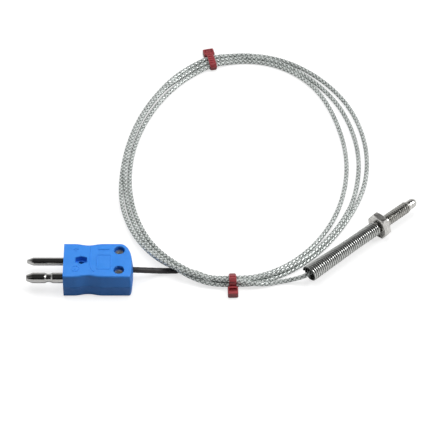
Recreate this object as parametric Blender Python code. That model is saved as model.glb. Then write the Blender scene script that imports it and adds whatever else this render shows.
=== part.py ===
"""Screw-in thermocouple probe with a spring relief, a braided lead in a tied coil and a two-pin plug.

The probe lies on one flat of its hexagon along +X, with its tip towards +X and its middle over the origin.
The lead and the plug lie on the same bench, in a bench frame of their own that is turned to the probe.
"""

import math

import bmesh
import bpy
from mathutils import Vector

MM = 0.001

# Fits
FIT_GAP = 0.06 * MM            # radial room between two small pieces that nest
SEAT_GAP = 0.10 * MM           # room between two faces that seat on each other
CORD_GAP = 0.30 * MM           # room between the lead's solids and what they meet

# Probe body, turned from one bar, stations measured from the back of the hexagon
HEX_ACROSS_FLATS = 12.0 * MM
HEX_THICKNESS = 3.9 * MM
HEX_CHAMFER = 0.35 * MM
NECK_DIAMETER = 5.7 * MM
NECK_LENGTH = 2.6 * MM
THREAD_DIAMETER = 6.0 * MM
THREAD_LENGTH = 14.4 * MM
THREAD_CHAMFER = 0.45 * MM
RELIEF_DIAMETER = 4.1 * MM
RELIEF_LENGTH = 0.6 * MM
NOSE_DIAMETER = 4.7 * MM
NOSE_LENGTH = 5.6 * MM
NOSE_WALL = 0.9 * MM
BOSS_LENGTH = 9.0 * MM
BOSS_DIAMETER = 4.5 * MM
BORE_DIAMETER = 3.0 * MM
BORE_PAST_HEX_BACK = 2.0 * MM
CORE_BORE_DIAMETER = 2.6 * MM

# Strain relief spring, close wound and flared towards its free end
SPRING_LENGTH = 47.0 * MM
SPRING_TURNS = 37
SPRING_WIRE = 1.12 * MM
SPRING_DIAMETER = 7.15 * MM
SPRING_FREE_DIAMETER = 8.6 * MM
SPRING_FLARE_SHARE = 0.62      # share of the length over which the spring opens out
SPRING_STEPS_PER_TURN = 12
SPRING_WIRE_SIDES = 5

# Inside the probe
FERRULE_LENGTH = 6.0 * MM
FERRULE_FLANGE = 0.5 * MM
CORE_WIRE_DIAMETER = 0.45 * MM
CORE_WIRE_SPACING = 1.1 * MM
CORE_HOLE_DIAMETER = 0.65 * MM
INSULATOR_LENGTH = 18.0 * MM
INSULATOR_START = 2.9 * MM
BEAD_DIAMETER = 1.0 * MM

# Lead
CABLE_DIAMETER = 2.2 * MM
SLEEVE_DIAMETER = 2.9 * MM
SLEEVE_WALL = 0.28 * MM
CORD_STEP = 2 * CABLE_DIAMETER
CORD_STRAIGHT = 4.0 * MM       # straight run before the lead leaves the plug or the spring

# Bench frame: u to the right of the view, v away from it, measured from the bench's own centre
PROBE_BEARING = math.radians(43.0)
PROBE_CENTRE_U = 69.2 * MM
PROBE_CENTRE_V = -24.6 * MM

# Coil of the lead: an oval laid by hand, so its bundle wanders a little
COIL_CENTRE_U = 10.4 * MM
COIL_CENTRE_V = 30.3 * MM
COIL_HALF_WIDTH = 59.5 * MM
COIL_HALF_DEPTH = 82.5 * MM
COIL_TILT = math.radians(-6.0)
COIL_STACK_RISE = 2.0 * MM     # how far the upper strand lies above the lower ones
COIL_STATIONS = 64
COIL_EDGE = 1.0 * MM

# Sideways place of the bundle's outer and inner strand from the oval, every 30 degrees from the right side
COIL_OUTER_LANES = [3.3, 2.6, 1.2, 2.2, 4.3, 1.7, 1.1, 3.2, 2.8, 0.8, -0.1, 0.3]
COIL_INNER_LANES = [-7.0, -8.0, -5.8, -3.2, -1.8, -2.7, -2.6, -2.1, -2.7, -4.0, -4.5, -5.9]

# Two plastic ties that hold the coil
TIE_WIDTH = 3.1 * MM
TIE_BAND = 0.9 * MM
TIE_HEAD_LENGTH = 4.6 * MM
TIE_HEAD_WIDTH = 4.9 * MM
TIE_HEAD_HEIGHT = 3.2 * MM
TIE_HEAD_LIFT = 0.15 * MM      # how far the head stays above the bench
TIE_HEAD_BEVEL = 0.45 * MM
TIE_FAR_AT = math.radians(114.0)
TIE_NEAR_AT = math.radians(-86.8)
TIE_REACH = math.radians(4.0)  # half angle of the coil over which the bundle lifts for a tie

# Plug, two moulded halves on two round pins
PLUG_PIN_FACE_U = -77.0 * MM
PLUG_CENTRE_V = -47.8 * MM
PLUG_LENGTH = 33.8 * MM
PLUG_WIDTH = 23.6 * MM
PLUG_HEIGHT = 14.0 * MM
PLUG_DRAFT = 0.55 * MM
PLUG_EDGE_RADIUS = 0.9 * MM
PLUG_WAIST_DEPTH = 1.0 * MM
PLUG_WAIST_START = 5.0 * MM
PLUG_WAIST_END = 19.0 * MM
PLUG_FAR_CORNER_CUT = 5.8 * MM
PLUG_FAR_CORNER_REACH = 12.0 * MM
PLUG_NEAR_CORNER_CUT = 1.2 * MM
PLUG_NEAR_CORNER_REACH = 5.0 * MM
PLUG_FLOOR = 2.2 * MM
PLUG_WALL = 2.4 * MM
CHAMBER_LENGTH = 16.6 * MM
CHANNEL_MARGIN = 0.10 * MM

# Pins, the thin one positive and the thick one negative
PIN_SPACING = 11.1 * MM
PIN_REACH = 18.2 * MM
PIN_POSITIVE_DIAMETER = 4.0 * MM
PIN_NEGATIVE_DIAMETER = 5.1 * MM
PIN_NOSE_LENGTH = 3.1 * MM
PIN_NOSE_TIP_SHARE = 0.44      # blunt end as a share of the pin's diameter
PIN_GROOVE_FROM_FACE = 5.4 * MM
PIN_GROOVE_LENGTH = 3.6 * MM
PIN_GROOVE_DEPTH = 0.55 * MM
PIN_BARREL_DIAMETER = 6.4 * MM
PIN_BARREL_LENGTH = 8.0 * MM
PIN_BARREL_FLAT = 1.5 * MM     # height of the clamping flat above the pin's axis

# Terminal screws and clamp washers
TERMINAL_SCREW_DIAMETER = 2.4 * MM
TERMINAL_SCREW_LENGTH = 4.4 * MM
TERMINAL_HEAD_DIAMETER = 4.2 * MM
TERMINAL_HEAD_HEIGHT = 1.4 * MM
WASHER_DIAMETER = 5.0 * MM
WASHER_THICKNESS = 0.5 * MM
PLUG_WIRE_DIAMETER = 0.6 * MM

# Cover screws and their nuts
COVER_SCREW_FROM_FACE = 27.0 * MM
COVER_SCREW_SPACING = 13.2 * MM
COVER_SCREW_DIAMETER = 2.5 * MM
COVER_SCREW_LENGTH = 9.4 * MM
COVER_HEAD_DIAMETER = 4.4 * MM
COVER_HEAD_HEIGHT = 1.7 * MM
COVER_HEAD_SUNK = 1.8 * MM     # how far the head lies below the cover
COVER_BORE_DIAMETER = 5.2 * MM
SLOT_WIDTH = 0.7 * MM
SLOT_DEPTH = 0.6 * MM
NUT_ACROSS_FLATS = 4.6 * MM
NUT_THICKNESS = 1.9 * MM
NUT_FROM_UNDERSIDE = 1.0 * MM

# Six-sided pocket in the cover between the polarity marks
POCKET_FROM_FACE = 8.6 * MM
POCKET_LENGTH = 5.6 * MM
POCKET_WIDTH = 5.0 * MM
POCKET_DEPTH = 3.0 * MM
POCKET_SHOULDER = 0.62         # share of the half width at the pocket's four side corners
POCKET_FLOOR = 0.8 * MM
POCKET_WALL = 0.7 * MM
POCKET_HOLE_DIAMETER = 1.8 * MM

# Values that follow
HEX_CIRCUMRADIUS = HEX_ACROSS_FLATS / math.sqrt(3)
AXIS_HEIGHT = HEX_ACROSS_FLATS / 2
BODY_LENGTH = HEX_THICKNESS + NECK_LENGTH + THREAD_LENGTH + RELIEF_LENGTH + NOSE_LENGTH
PROBE_LENGTH = SPRING_LENGTH + SEAT_GAP + BODY_LENGTH
HEX_BACK = PROBE_LENGTH / 2 - BODY_LENGTH
CABLE_RADIUS = CABLE_DIAMETER / 2
SPRING_PITCH = (SPRING_LENGTH - SPRING_WIRE) / SPRING_TURNS
PLUG_MID = PLUG_HEIGHT / 2
COIL_HEIGHT = CABLE_DIAMETER + COIL_STACK_RISE
FERRULE_BORE = CABLE_RADIUS + FIT_GAP
PIN_BARREL_START = PLUG_WALL + SEAT_GAP
TERMINAL_FROM_FACE = PIN_BARREL_START + PIN_BARREL_LENGTH / 2
CABLE_END_FROM_FACE = PLUG_WALL + CHAMBER_LENGTH - 1.5 * MM
SLEEVE_START_FROM_FACE = PLUG_WALL + CHAMBER_LENGTH + 1.0 * MM

# Route of the sleeved lead on the bench, from the plug to the coil, in the bench frame and in millimetres
TAIL_ROUTE = [
    (-40.2, -47.3, 6.3),
    (-37.4, -46.5, 4.9),
    (-34.8, -45.4, 3.2),
    (-32.0, -44.3, 1.9),
    (-28.1, -42.9, 1.5),
]

# Route of the bare lead from the spring down to the coil, in the bench frame and in millimetres
LEAD_ROUTE = [
    (40.4, -51.2, 5.8),
    (38.2, -51.9, 4.4),
    (35.6, -51.6, 2.8),
    (33.0, -51.2, 1.8),
    (30.2, -51.0, 1.25),
    (27.2, -51.1, 1.1),
    (23.8, -51.7, 1.1),
]


def clear_scene():
    """Remove every object, so that the part starts from an empty scene."""
    for item in list(bpy.data.objects):
        bpy.data.objects.remove(item, do_unlink=True)


def make_material(name, colour, roughness, metallic):
    """Return a plain Principled material."""
    material = bpy.data.materials.new(name)
    material.use_nodes = True
    shader = material.node_tree.nodes["Principled BSDF"]
    shader.inputs["Base Color"].default_value = (*colour, 1.0)
    shader.inputs["Roughness"].default_value = roughness
    shader.inputs["Metallic"].default_value = metallic
    return material


def make_empty(name, location, turn):
    """Return an empty that carries pieces in a turned frame."""
    empty = bpy.data.objects.new(name, None)
    bpy.context.collection.objects.link(empty)
    empty.location = location
    empty.rotation_euler = (0.0, 0.0, turn)
    return empty


def add_mesh(name, mesh_data, material, parent, smooth=True):
    """Turn a bmesh into a named object, with outward faces and crisp edges kept."""
    mesh_data.normal_update()
    bmesh.ops.recalc_face_normals(mesh_data, faces=mesh_data.faces)
    mesh = bpy.data.meshes.new(name)
    mesh_data.to_mesh(mesh)
    mesh_data.free()
    if smooth:
        mesh.shade_smooth()
        mesh.set_sharp_from_angle(angle=math.radians(35))
    piece = bpy.data.objects.new(name, mesh)
    bpy.context.collection.objects.link(piece)
    if material is not None:
        mesh.materials.append(material)
    piece.parent = parent
    return piece


def bridge_rings(mesh_data, rings, close_loop=False):
    """Skin a list of equal vertex rings; the two end rings are capped unless the skin closes on itself."""
    count = len(rings[0])
    pairs = list(zip(rings, rings[1:]))
    if close_loop:
        pairs.append((rings[-1], rings[0]))
    for first, second in pairs:
        for index in range(count):
            following = (index + 1) % count
            mesh_data.faces.new((first[index], first[following], second[following], second[index]))
    if not close_loop:
        mesh_data.faces.new(rings[0])
        mesh_data.faces.new(rings[-1])


def ring_at(mesh_data, points):
    """Add one ring of vertices."""
    return [mesh_data.verts.new(point) for point in points]


def circle_about_x(station, radius, sides, centre_y=0.0, centre_z=0.0):
    """Points of a circle across the X axis at a station."""
    step = 2 * math.pi / sides
    return [(station,
             centre_y + radius * math.cos(step * (i + 0.5)),
             centre_z + radius * math.sin(step * (i + 0.5))) for i in range(sides)]


def turned_piece(name, profile, sides, material, parent, centre=(0.0, 0.0, 0.0), hollow=False):
    """Turn a profile of (station, radius) about the X axis through a centre.

    A solid profile runs from end to end. A hollow one runs down the outside and back up the bore.
    """
    mesh_data = bmesh.new()
    rings = [ring_at(mesh_data, circle_about_x(centre[0] + station, radius, sides, centre[1], centre[2]))
             for station, radius in profile]
    bridge_rings(mesh_data, rings, close_loop=hollow)
    return add_mesh(name, mesh_data, material, parent)


def upright_piece(name, profile, sides, material, parent, centre):
    """Turn a profile of (height, radius) about a vertical axis."""
    mesh_data = bmesh.new()
    rings = []
    step = 2 * math.pi / sides
    for height, radius in profile:
        points = [(centre[0] + radius * math.cos(step * (i + 0.5)),
                   centre[1] + radius * math.sin(step * (i + 0.5)),
                   centre[2] + height) for i in range(sides)]
        rings.append(ring_at(mesh_data, points))
    bridge_rings(mesh_data, rings)
    return add_mesh(name, mesh_data, material, parent)


def make_cutter(piece):
    """Hide a piece from the model, because it only cuts others."""
    piece.hide_render = True
    piece.display_type = "WIRE"
    return piece


def box_cutter(name, low, high, parent):
    """Return a box between two corners, for cutting."""
    mesh_data = bmesh.new()
    bmesh.ops.create_cube(mesh_data, size=1.0)
    for vertex in mesh_data.verts:
        vertex.co = Vector([low[i] + (vertex.co[i] + 0.5) * (high[i] - low[i]) for i in range(3)])
    return make_cutter(add_mesh(name, mesh_data, None, parent, smooth=False))


def upright_cutter(name, radius, low, high, sides, parent, centre):
    """Return a vertical prism for cutting; six sides make a hexagon."""
    piece = upright_piece(name, [(low, radius), (high, radius)], sides, None, parent, (*centre, 0.0))
    return make_cutter(piece)


def cut(piece, cutters):
    """Take each cutter out of a piece."""
    for cutter in cutters:
        modifier = piece.modifiers.new("cut_" + cutter.name, "BOOLEAN")
        modifier.operation = "DIFFERENCE"
        modifier.object = cutter
        modifier.solver = "EXACT"


def smooth_through(points, step):
    """Points of a Catmull-Rom curve through a route, about one step apart."""
    route = [Vector(point) for point in points]
    padded = [2 * route[0] - route[1], *route, 2 * route[-1] - route[-2]]
    curve = [route[0]]
    for index in range(1, len(padded) - 2):
        before, start, end, after = padded[index - 1:index + 3]
        pieces = max(1, round((end - start).length / step))
        for part in range(1, pieces + 1):
            t = part / pieces
            curve.append(0.5 * (2 * start + (end - before) * t
                                + (2 * before - 5 * start + 4 * end - after) * t ** 2
                                + (3 * start - before - 3 * end + after) * t ** 3))
    return curve


def round_tube(name, points, radius, material, parent, bevel_resolution=2):
    """Return a solid round tube along a list of points."""
    curve = bpy.data.curves.new(name, "CURVE")
    curve.dimensions = "3D"
    curve.bevel_depth = radius
    curve.bevel_resolution = bevel_resolution
    curve.use_fill_caps = True
    curve.render_resolution_u = 0
    spline = curve.splines.new("POLY")
    spline.points.add(len(points) - 1)
    for spot, point in zip(spline.points, points):
        spot.co = (*point, 1.0)
    tube = bpy.data.objects.new(name, curve)
    bpy.context.collection.objects.link(tube)
    curve.materials.append(material)
    tube.parent = parent
    return tube


def in_millimetres(route):
    """Turn a route that is written in millimetres into metres."""
    return [tuple(value * MM for value in point) for point in route]


def on_probe_axis(station):
    """Point of the bench frame that lies on the probe's axis, at a station along +X."""
    return (PROBE_CENTRE_U + station * math.cos(PROBE_BEARING),
            PROBE_CENTRE_V + station * math.sin(PROBE_BEARING), AXIS_HEIGHT)


def tail_route():
    """Route of the cable from its end in the plug, along the channel and down to the coil."""
    stations = (CABLE_END_FROM_FACE, SLEEVE_START_FROM_FACE, PLUG_LENGTH - CORD_STRAIGHT, PLUG_LENGTH)
    inside = [(PLUG_PIN_FACE_U + station, PLUG_CENTRE_V, PLUG_MID) for station in stations]
    return inside + in_millimetres(TAIL_ROUTE)


def lead_route():
    """Route of the cable from its end in the ferrule, through the spring and down to the coil."""
    cable_end = HEX_BACK - BOSS_LENGTH - SEAT_GAP - FERRULE_FLANGE + FERRULE_LENGTH
    free_end = -PROBE_LENGTH / 2
    stations = (cable_end, (cable_end + free_end) / 2, free_end + CORD_STRAIGHT, free_end)
    return [on_probe_axis(station) for station in stations] + in_millimetres(LEAD_ROUTE)


def hexagon_ring(station, circumradius, sides_per_flat, round_radius):
    """Ring of a hexagon across the X axis, its points drawn in where the round radius is smaller."""
    points = []
    total = 6 * sides_per_flat
    for index in range(total):
        angle = 2 * math.pi * index / total
        inside = (angle % (math.pi / 3)) - math.pi / 6
        radius = min(circumradius * math.cos(math.pi / 6) / math.cos(inside), round_radius)
        points.append((station, radius * math.cos(angle), AXIS_HEIGHT + radius * math.sin(angle)))
    return points


def probe_body(material):
    """Body with rear boss, hexagon, neck, threaded shank, relief groove and round nose, bored from behind."""
    sides = 24
    steps_per_flat = 4
    neck = HEX_THICKNESS
    thread = neck + NECK_LENGTH
    relief = thread + THREAD_LENGTH
    nose = relief + RELIEF_LENGTH
    nose_radius = NOSE_DIAMETER / 2
    chamfer_radius = HEX_ACROSS_FLATS / 2 + 0.1 * MM
    mesh_data = bmesh.new()

    def round_ring(station, radius):
        step = 2 * math.pi / sides
        return ring_at(mesh_data, [(HEX_BACK + station, radius * math.cos(step * i),
                                    AXIS_HEIGHT + radius * math.sin(step * i)) for i in range(sides)])

    def hex_ring(station, round_radius):
        return ring_at(mesh_data, hexagon_ring(HEX_BACK + station, HEX_CIRCUMRADIUS, steps_per_flat, round_radius))

    rings = [round_ring(-BOSS_LENGTH, BOSS_DIAMETER / 2), round_ring(0.0, BOSS_DIAMETER / 2)]
    rings.append(hex_ring(0.0, chamfer_radius))
    rings.append(hex_ring(HEX_CHAMFER, HEX_CIRCUMRADIUS))
    rings.append(hex_ring(neck - HEX_CHAMFER, HEX_CIRCUMRADIUS))
    rings.append(hex_ring(neck, chamfer_radius))
    profile = [(neck, NECK_DIAMETER / 2), (thread - THREAD_CHAMFER / 2, NECK_DIAMETER / 2),
               (thread, THREAD_DIAMETER / 2), (relief - THREAD_CHAMFER, THREAD_DIAMETER / 2),
               (relief, RELIEF_DIAMETER / 2), (nose, RELIEF_DIAMETER / 2), (nose, nose_radius)]
    nose_steps = 5
    for step in range(nose_steps):
        angle = math.pi / 2 * step / nose_steps
        profile.append((nose + NOSE_LENGTH - nose_radius + nose_radius * math.sin(angle),
                        nose_radius * math.cos(angle)))
    profile.append((nose + NOSE_LENGTH, nose_radius * 0.12))
    rings += [round_ring(station, radius) for station, radius in profile]
    bore_end = nose + NOSE_LENGTH - NOSE_WALL
    bore = [(bore_end, CORE_BORE_DIAMETER / 4), (bore_end - CORE_BORE_DIAMETER / 4, CORE_BORE_DIAMETER / 2),
            (BORE_PAST_HEX_BACK, CORE_BORE_DIAMETER / 2), (BORE_PAST_HEX_BACK, BORE_DIAMETER / 2),
            (-BOSS_LENGTH, BORE_DIAMETER / 2)]
    inner = [round_ring(station, radius) for station, radius in bore]
    for group in (rings, inner):
        for first, second in zip(group, group[1:]):
            for index in range(sides):
                following = (index + 1) % sides
                mesh_data.faces.new((first[index], first[following], second[following], second[index]))
    mesh_data.faces.new(rings[-1])
    mesh_data.faces.new(inner[0])
    for index in range(sides):
        following = (index + 1) % sides
        mesh_data.faces.new((rings[0][index], rings[0][following], inner[-1][following], inner[-1][index]))
    return add_mesh("probe_body", mesh_data, material, None)


def spring_radius(share):
    """Outer radius of the spring at a share of its length from the free end."""
    opening = max(0.0, 1.0 - share / SPRING_FLARE_SHARE)
    return (SPRING_DIAMETER + (SPRING_FREE_DIAMETER - SPRING_DIAMETER) * opening) / 2


def relief_spring(material):
    """Close-wound strain relief spring on the rear boss of the body."""
    mesh_data = bmesh.new()
    wire = SPRING_WIRE / 2
    start = HEX_BACK - SEAT_GAP - SPRING_LENGTH + wire
    stations = SPRING_TURNS * SPRING_STEPS_PER_TURN
    rings = []
    for station in range(stations + 1):
        turn = station / SPRING_STEPS_PER_TURN
        share = turn / SPRING_TURNS
        angle = 2 * math.pi * turn
        radius = spring_radius(share) - wire
        outward = Vector((0.0, math.cos(angle), math.sin(angle)))
        centre = Vector((start + turn * SPRING_PITCH, 0.0, AXIS_HEIGHT)) + outward * radius
        points = []
        for side in range(SPRING_WIRE_SIDES):
            around = 2 * math.pi * side / SPRING_WIRE_SIDES
            sideways = Vector((wire * math.sin(around), 0.0, 0.0))
            points.append(centre + outward * wire * math.cos(around) + sideways)
        rings.append(ring_at(mesh_data, points))
    bridge_rings(mesh_data, rings)
    return add_mesh("relief_spring", mesh_data, material, None)


def probe_inside(steel, ceramic, positive, negative):
    """Crimp ferrule, twin-bore insulator, the two core wires and the junction bead."""
    centre = (HEX_BACK, 0.0, AXIS_HEIGHT)
    flange_end = -BOSS_LENGTH - SEAT_GAP
    flange_start = flange_end - FERRULE_FLANGE
    barrel = BORE_DIAMETER / 2 - FIT_GAP
    turned_piece("crimp_ferrule", [
        (flange_start, BOSS_DIAMETER / 2),
        (flange_end, BOSS_DIAMETER / 2),
        (flange_end, barrel),
        (flange_start + FERRULE_LENGTH, barrel),
        (flange_start + FERRULE_LENGTH, FERRULE_BORE),
        (flange_start, FERRULE_BORE)], 16, steel, None, centre, hollow=True)

    insulator = turned_piece("insulator_core", [
        (INSULATOR_START, CORE_BORE_DIAMETER / 2 - FIT_GAP),
        (INSULATOR_START + INSULATOR_LENGTH, CORE_BORE_DIAMETER / 2 - FIT_GAP)], 16, ceramic, None, centre)
    cutters = []
    bead_at = INSULATOR_START + INSULATOR_LENGTH + SEAT_GAP + BEAD_DIAMETER / 2
    wire_start = flange_start + FERRULE_LENGTH + SEAT_GAP
    for name, side, material in (("core_wire_positive", 1, positive), ("core_wire_negative", -1, negative)):
        offset = side * CORE_WIRE_SPACING / 2
        hole = turned_piece("hole_" + name, [
            (INSULATOR_START - MM, CORE_HOLE_DIAMETER / 2),
            (INSULATOR_START + INSULATOR_LENGTH + MM, CORE_HOLE_DIAMETER / 2)], 8, None, None,
            (HEX_BACK, offset, AXIS_HEIGHT))
        cutters.append(make_cutter(hole))
        turned_piece(name, [
            (wire_start, CORE_WIRE_DIAMETER / 2),
            (bead_at - BEAD_DIAMETER / 2 - SEAT_GAP / 2, CORE_WIRE_DIAMETER / 2)], 6, material, None,
            (HEX_BACK, offset, AXIS_HEIGHT))
    cut(insulator, cutters)

    bead = bmesh.new()
    bmesh.ops.create_uvsphere(bead, u_segments=12, v_segments=6, radius=BEAD_DIAMETER / 2)
    for vertex in bead.verts:
        vertex.co += Vector((HEX_BACK + bead_at, 0.0, AXIS_HEIGHT))
    add_mesh("junction_bead", bead, steel, None)


def coil_point(angle, offset, height):
    """Point of the coil in the bench frame, at an angle and a sideways offset from its oval."""
    along_u = (COIL_HALF_WIDTH + offset) * math.cos(angle)
    along_v = (COIL_HALF_DEPTH + offset) * math.sin(angle)
    return Vector((COIL_CENTRE_U + along_u * math.cos(COIL_TILT) - along_v * math.sin(COIL_TILT),
                   COIL_CENTRE_V + along_u * math.sin(COIL_TILT) + along_v * math.cos(COIL_TILT),
                   height))


def angle_between(first, second):
    """Smallest angle between two directions."""
    return abs((first - second + math.pi) % (2 * math.pi) - math.pi)


def coil_lane(angle, lanes):
    """Sideways place of a strand at an angle, on a smooth closed curve through its lanes."""
    count = len(lanes)
    place = (angle / (2 * math.pi) * count) % count
    index = int(place)
    t = place - index
    before, start, end, after = (lanes[(index + step) % count] for step in (-1, 0, 1, 2))
    lane = 0.5 * (2 * start + (end - before) * t + (2 * before - 5 * start + 4 * end - after) * t ** 2
                  + (3 * start - before - 3 * end + after) * t ** 3)
    return lane * MM


def coil_edges(angle):
    """Inner and outer edge of the bundle at an angle."""
    inner = coil_lane(angle, COIL_INNER_LANES) - CABLE_RADIUS
    outer = coil_lane(angle, COIL_OUTER_LANES) + CABLE_RADIUS
    return inner, outer


def coil_underside(angle):
    """Height of the bundle's underside, lifted where a tie passes below it."""
    near_tie = min(angle_between(angle, TIE_FAR_AT), angle_between(angle, TIE_NEAR_AT))
    return TIE_BAND + CORD_GAP if near_tie < TIE_REACH else 0.0


def coil_angles():
    """Angles of the coil's stations, with pairs close to each other on both sides of a tie."""
    angles = [2 * math.pi * i / COIL_STATIONS - math.pi for i in range(COIL_STATIONS)]
    for tie in (TIE_FAR_AT, TIE_NEAR_AT):
        angles = [angle for angle in angles if angle_between(angle, tie) > 1.3 * TIE_REACH]
        for side in (-1, 1):
            angles += [tie + side * TIE_REACH * 0.98, tie + side * TIE_REACH * 1.15]
    return sorted(angles)


def cable_coil(material, bench):
    """Closed solid of the outer shape of the tied coil."""
    mesh_data = bmesh.new()
    rings = []
    for angle in coil_angles():
        inner, outer = coil_edges(angle)
        low = coil_underside(angle)
        high = COIL_HEIGHT
        section = [(outer - COIL_EDGE, low), (outer, low + COIL_EDGE), (outer, high - COIL_EDGE),
                   (outer - COIL_EDGE, high), (inner + COIL_EDGE, high), (inner, high - COIL_EDGE),
                   (inner, low + COIL_EDGE), (inner + COIL_EDGE, low)]
        rings.append(ring_at(mesh_data, [coil_point(angle, offset, height) for offset, height in section]))
    bridge_rings(mesh_data, rings, close_loop=True)
    return add_mesh("cable_coil", mesh_data, material, bench)


def tie_frame(angle):
    """Middle of the bundle at a tie, the directions across and along it, and its sides seen from the middle."""
    reach = TIE_REACH * 0.98
    ends = [coil_edges(angle - reach), coil_edges(angle + reach)]
    centres = [coil_point(angle + turn, (edges[0] + edges[1]) / 2, 0.0)
               for turn, edges in zip((-reach, reach), ends)]
    middle = (centres[0] + centres[1]) / 2
    along = (centres[1] - centres[0]).normalized()
    across = Vector((along.y, -along.x, 0.0))
    sides = []
    for pick, outward in ((0, -1), (1, 1)):
        spots = [coil_point(angle + turn, edges[pick], 0.0) - middle for turn, edges in zip((-reach, reach), ends)]
        slope = (spots[1] - spots[0]).dot(across) / (spots[1] - spots[0]).dot(along)
        centre = spots[0].dot(across) - slope * spots[0].dot(along)
        sides.append(centre + outward * (abs(slope) * TIE_WIDTH / 2 + CORD_GAP))
    return middle, across, along, sides


def coil_tie(name, angle, head_outward, material, bench):
    """Tie around the bundle: a band with round corners and a ratchet head beside the bundle."""
    middle, across, along, (inner, outer) = tie_frame(angle)
    low = TIE_BAND
    high = COIL_HEIGHT + CORD_GAP
    corner = 0.7 * MM

    def band_loop(grow):
        points = []
        left, right, bottom, top = inner - grow, outer + grow, low - grow, high + grow
        radius = corner + grow
        centres = [(right - radius, top - radius), (left + radius, top - radius),
                   (left + radius, bottom + radius), (right - radius, bottom + radius)]
        for quarter, (centre_x, centre_z) in enumerate(centres):
            for step in range(4):
                turn = math.pi / 2 * (quarter + step / 3)
                points.append((centre_x + radius * math.cos(turn), centre_z + radius * math.sin(turn)))
        return points

    mesh_data = bmesh.new()
    rings = []
    for grow, side in ((0.0, -1), (TIE_BAND, -1), (TIE_BAND, 1), (0.0, 1)):
        edge = middle + along * side * TIE_WIDTH / 2
        rings.append(ring_at(mesh_data, [edge + across * x + Vector((0.0, 0.0, z))
                                         for x, z in band_loop(grow)]))
    bridge_rings(mesh_data, rings, close_loop=True)
    band = add_mesh(name, mesh_data, material, bench)

    head = bmesh.new()
    face = outer if head_outward else -inner
    side = 1 if head_outward else -1
    start = middle + across * side * (face + TIE_BAND / 2)
    bmesh.ops.create_cube(head, size=1.0)
    for vertex in head.verts:
        x, y, z = vertex.co
        vertex.co = (start + across * side * (x + 0.5) * TIE_HEAD_LENGTH + along * y * TIE_HEAD_WIDTH
                     + Vector((0.0, 0.0, TIE_HEAD_LIFT + (z + 0.5) * TIE_HEAD_HEIGHT)))
    head.normal_update()
    bmesh.ops.bevel(head, geom=list(head.edges), offset=TIE_HEAD_BEVEL, segments=1, affect="EDGES")
    head_piece = make_cutter(add_mesh("head_of_" + name, head, None, bench))
    join = band.modifiers.new("head", "BOOLEAN")
    join.operation = "UNION"
    join.object = head_piece
    join.solver = "EXACT"
    return band


def plug_outline(inset):
    """Outline of the plug with its flat pin face at zero, from the near pin corner round to the far one."""
    half = PLUG_WIDTH / 2

    def side_depth(station):
        if PLUG_WAIST_START < station < PLUG_WAIST_END:
            share = (station - PLUG_WAIST_START) / (PLUG_WAIST_END - PLUG_WAIST_START)
            return half - PLUG_WAIST_DEPTH * math.sin(math.pi * share) ** 2
        return half

    waist_steps = 8
    stations = [PLUG_WAIST_START + (PLUG_WAIST_END - PLUG_WAIST_START) * i / waist_steps
                for i in range(waist_steps + 1)]
    near = [(0.0, -half + inset)]
    near += [(station, -side_depth(station) + inset) for station in stations]
    far = [(station, side_depth(station) - inset) for station in reversed(stations)]
    far.append((0.0, half - inset))
    end = PLUG_LENGTH - inset
    cable_end = []
    near_start = -half + inset
    cable_end.append((end - PLUG_NEAR_CORNER_CUT, near_start))
    corner_steps = 3
    for step in range(1, corner_steps + 1):
        turn = math.pi / 2 * step / corner_steps
        cable_end.append((end - PLUG_NEAR_CORNER_CUT * (1 - math.sin(turn)),
                          near_start + PLUG_NEAR_CORNER_REACH * (1 - math.cos(turn))))
    far_steps = 5
    for step in range(far_steps):
        turn = math.pi / 2 * step / far_steps
        cable_end.append((end - PLUG_FAR_CORNER_CUT * (1 - math.cos(turn)),
                          half - inset - PLUG_FAR_CORNER_REACH * (1 - math.sin(turn))))
    cable_end.append((end - PLUG_FAR_CORNER_CUT, half - inset))
    return near + cable_end + far


def plug_half(name, outside, parting, material, plug):
    """Solid half of the plug between its outside face and the parting face, with a rounded outer edge."""
    direction = 1 if outside > parting else -1
    mesh_data = bmesh.new()
    edge_steps = 3
    levels = [(parting, 0.0)]
    for step in range(edge_steps + 1):
        turn = math.pi / 2 * step / edge_steps
        levels.append((outside - direction * PLUG_EDGE_RADIUS * (1 - math.sin(turn)),
                       PLUG_DRAFT + PLUG_EDGE_RADIUS * (1 - math.cos(turn))))
    rings = [ring_at(mesh_data, [(x, y, height) for x, y in plug_outline(inset)])
             for height, inset in levels]
    bridge_rings(mesh_data, rings)
    return add_mesh(name, mesh_data, material, plug)


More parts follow.
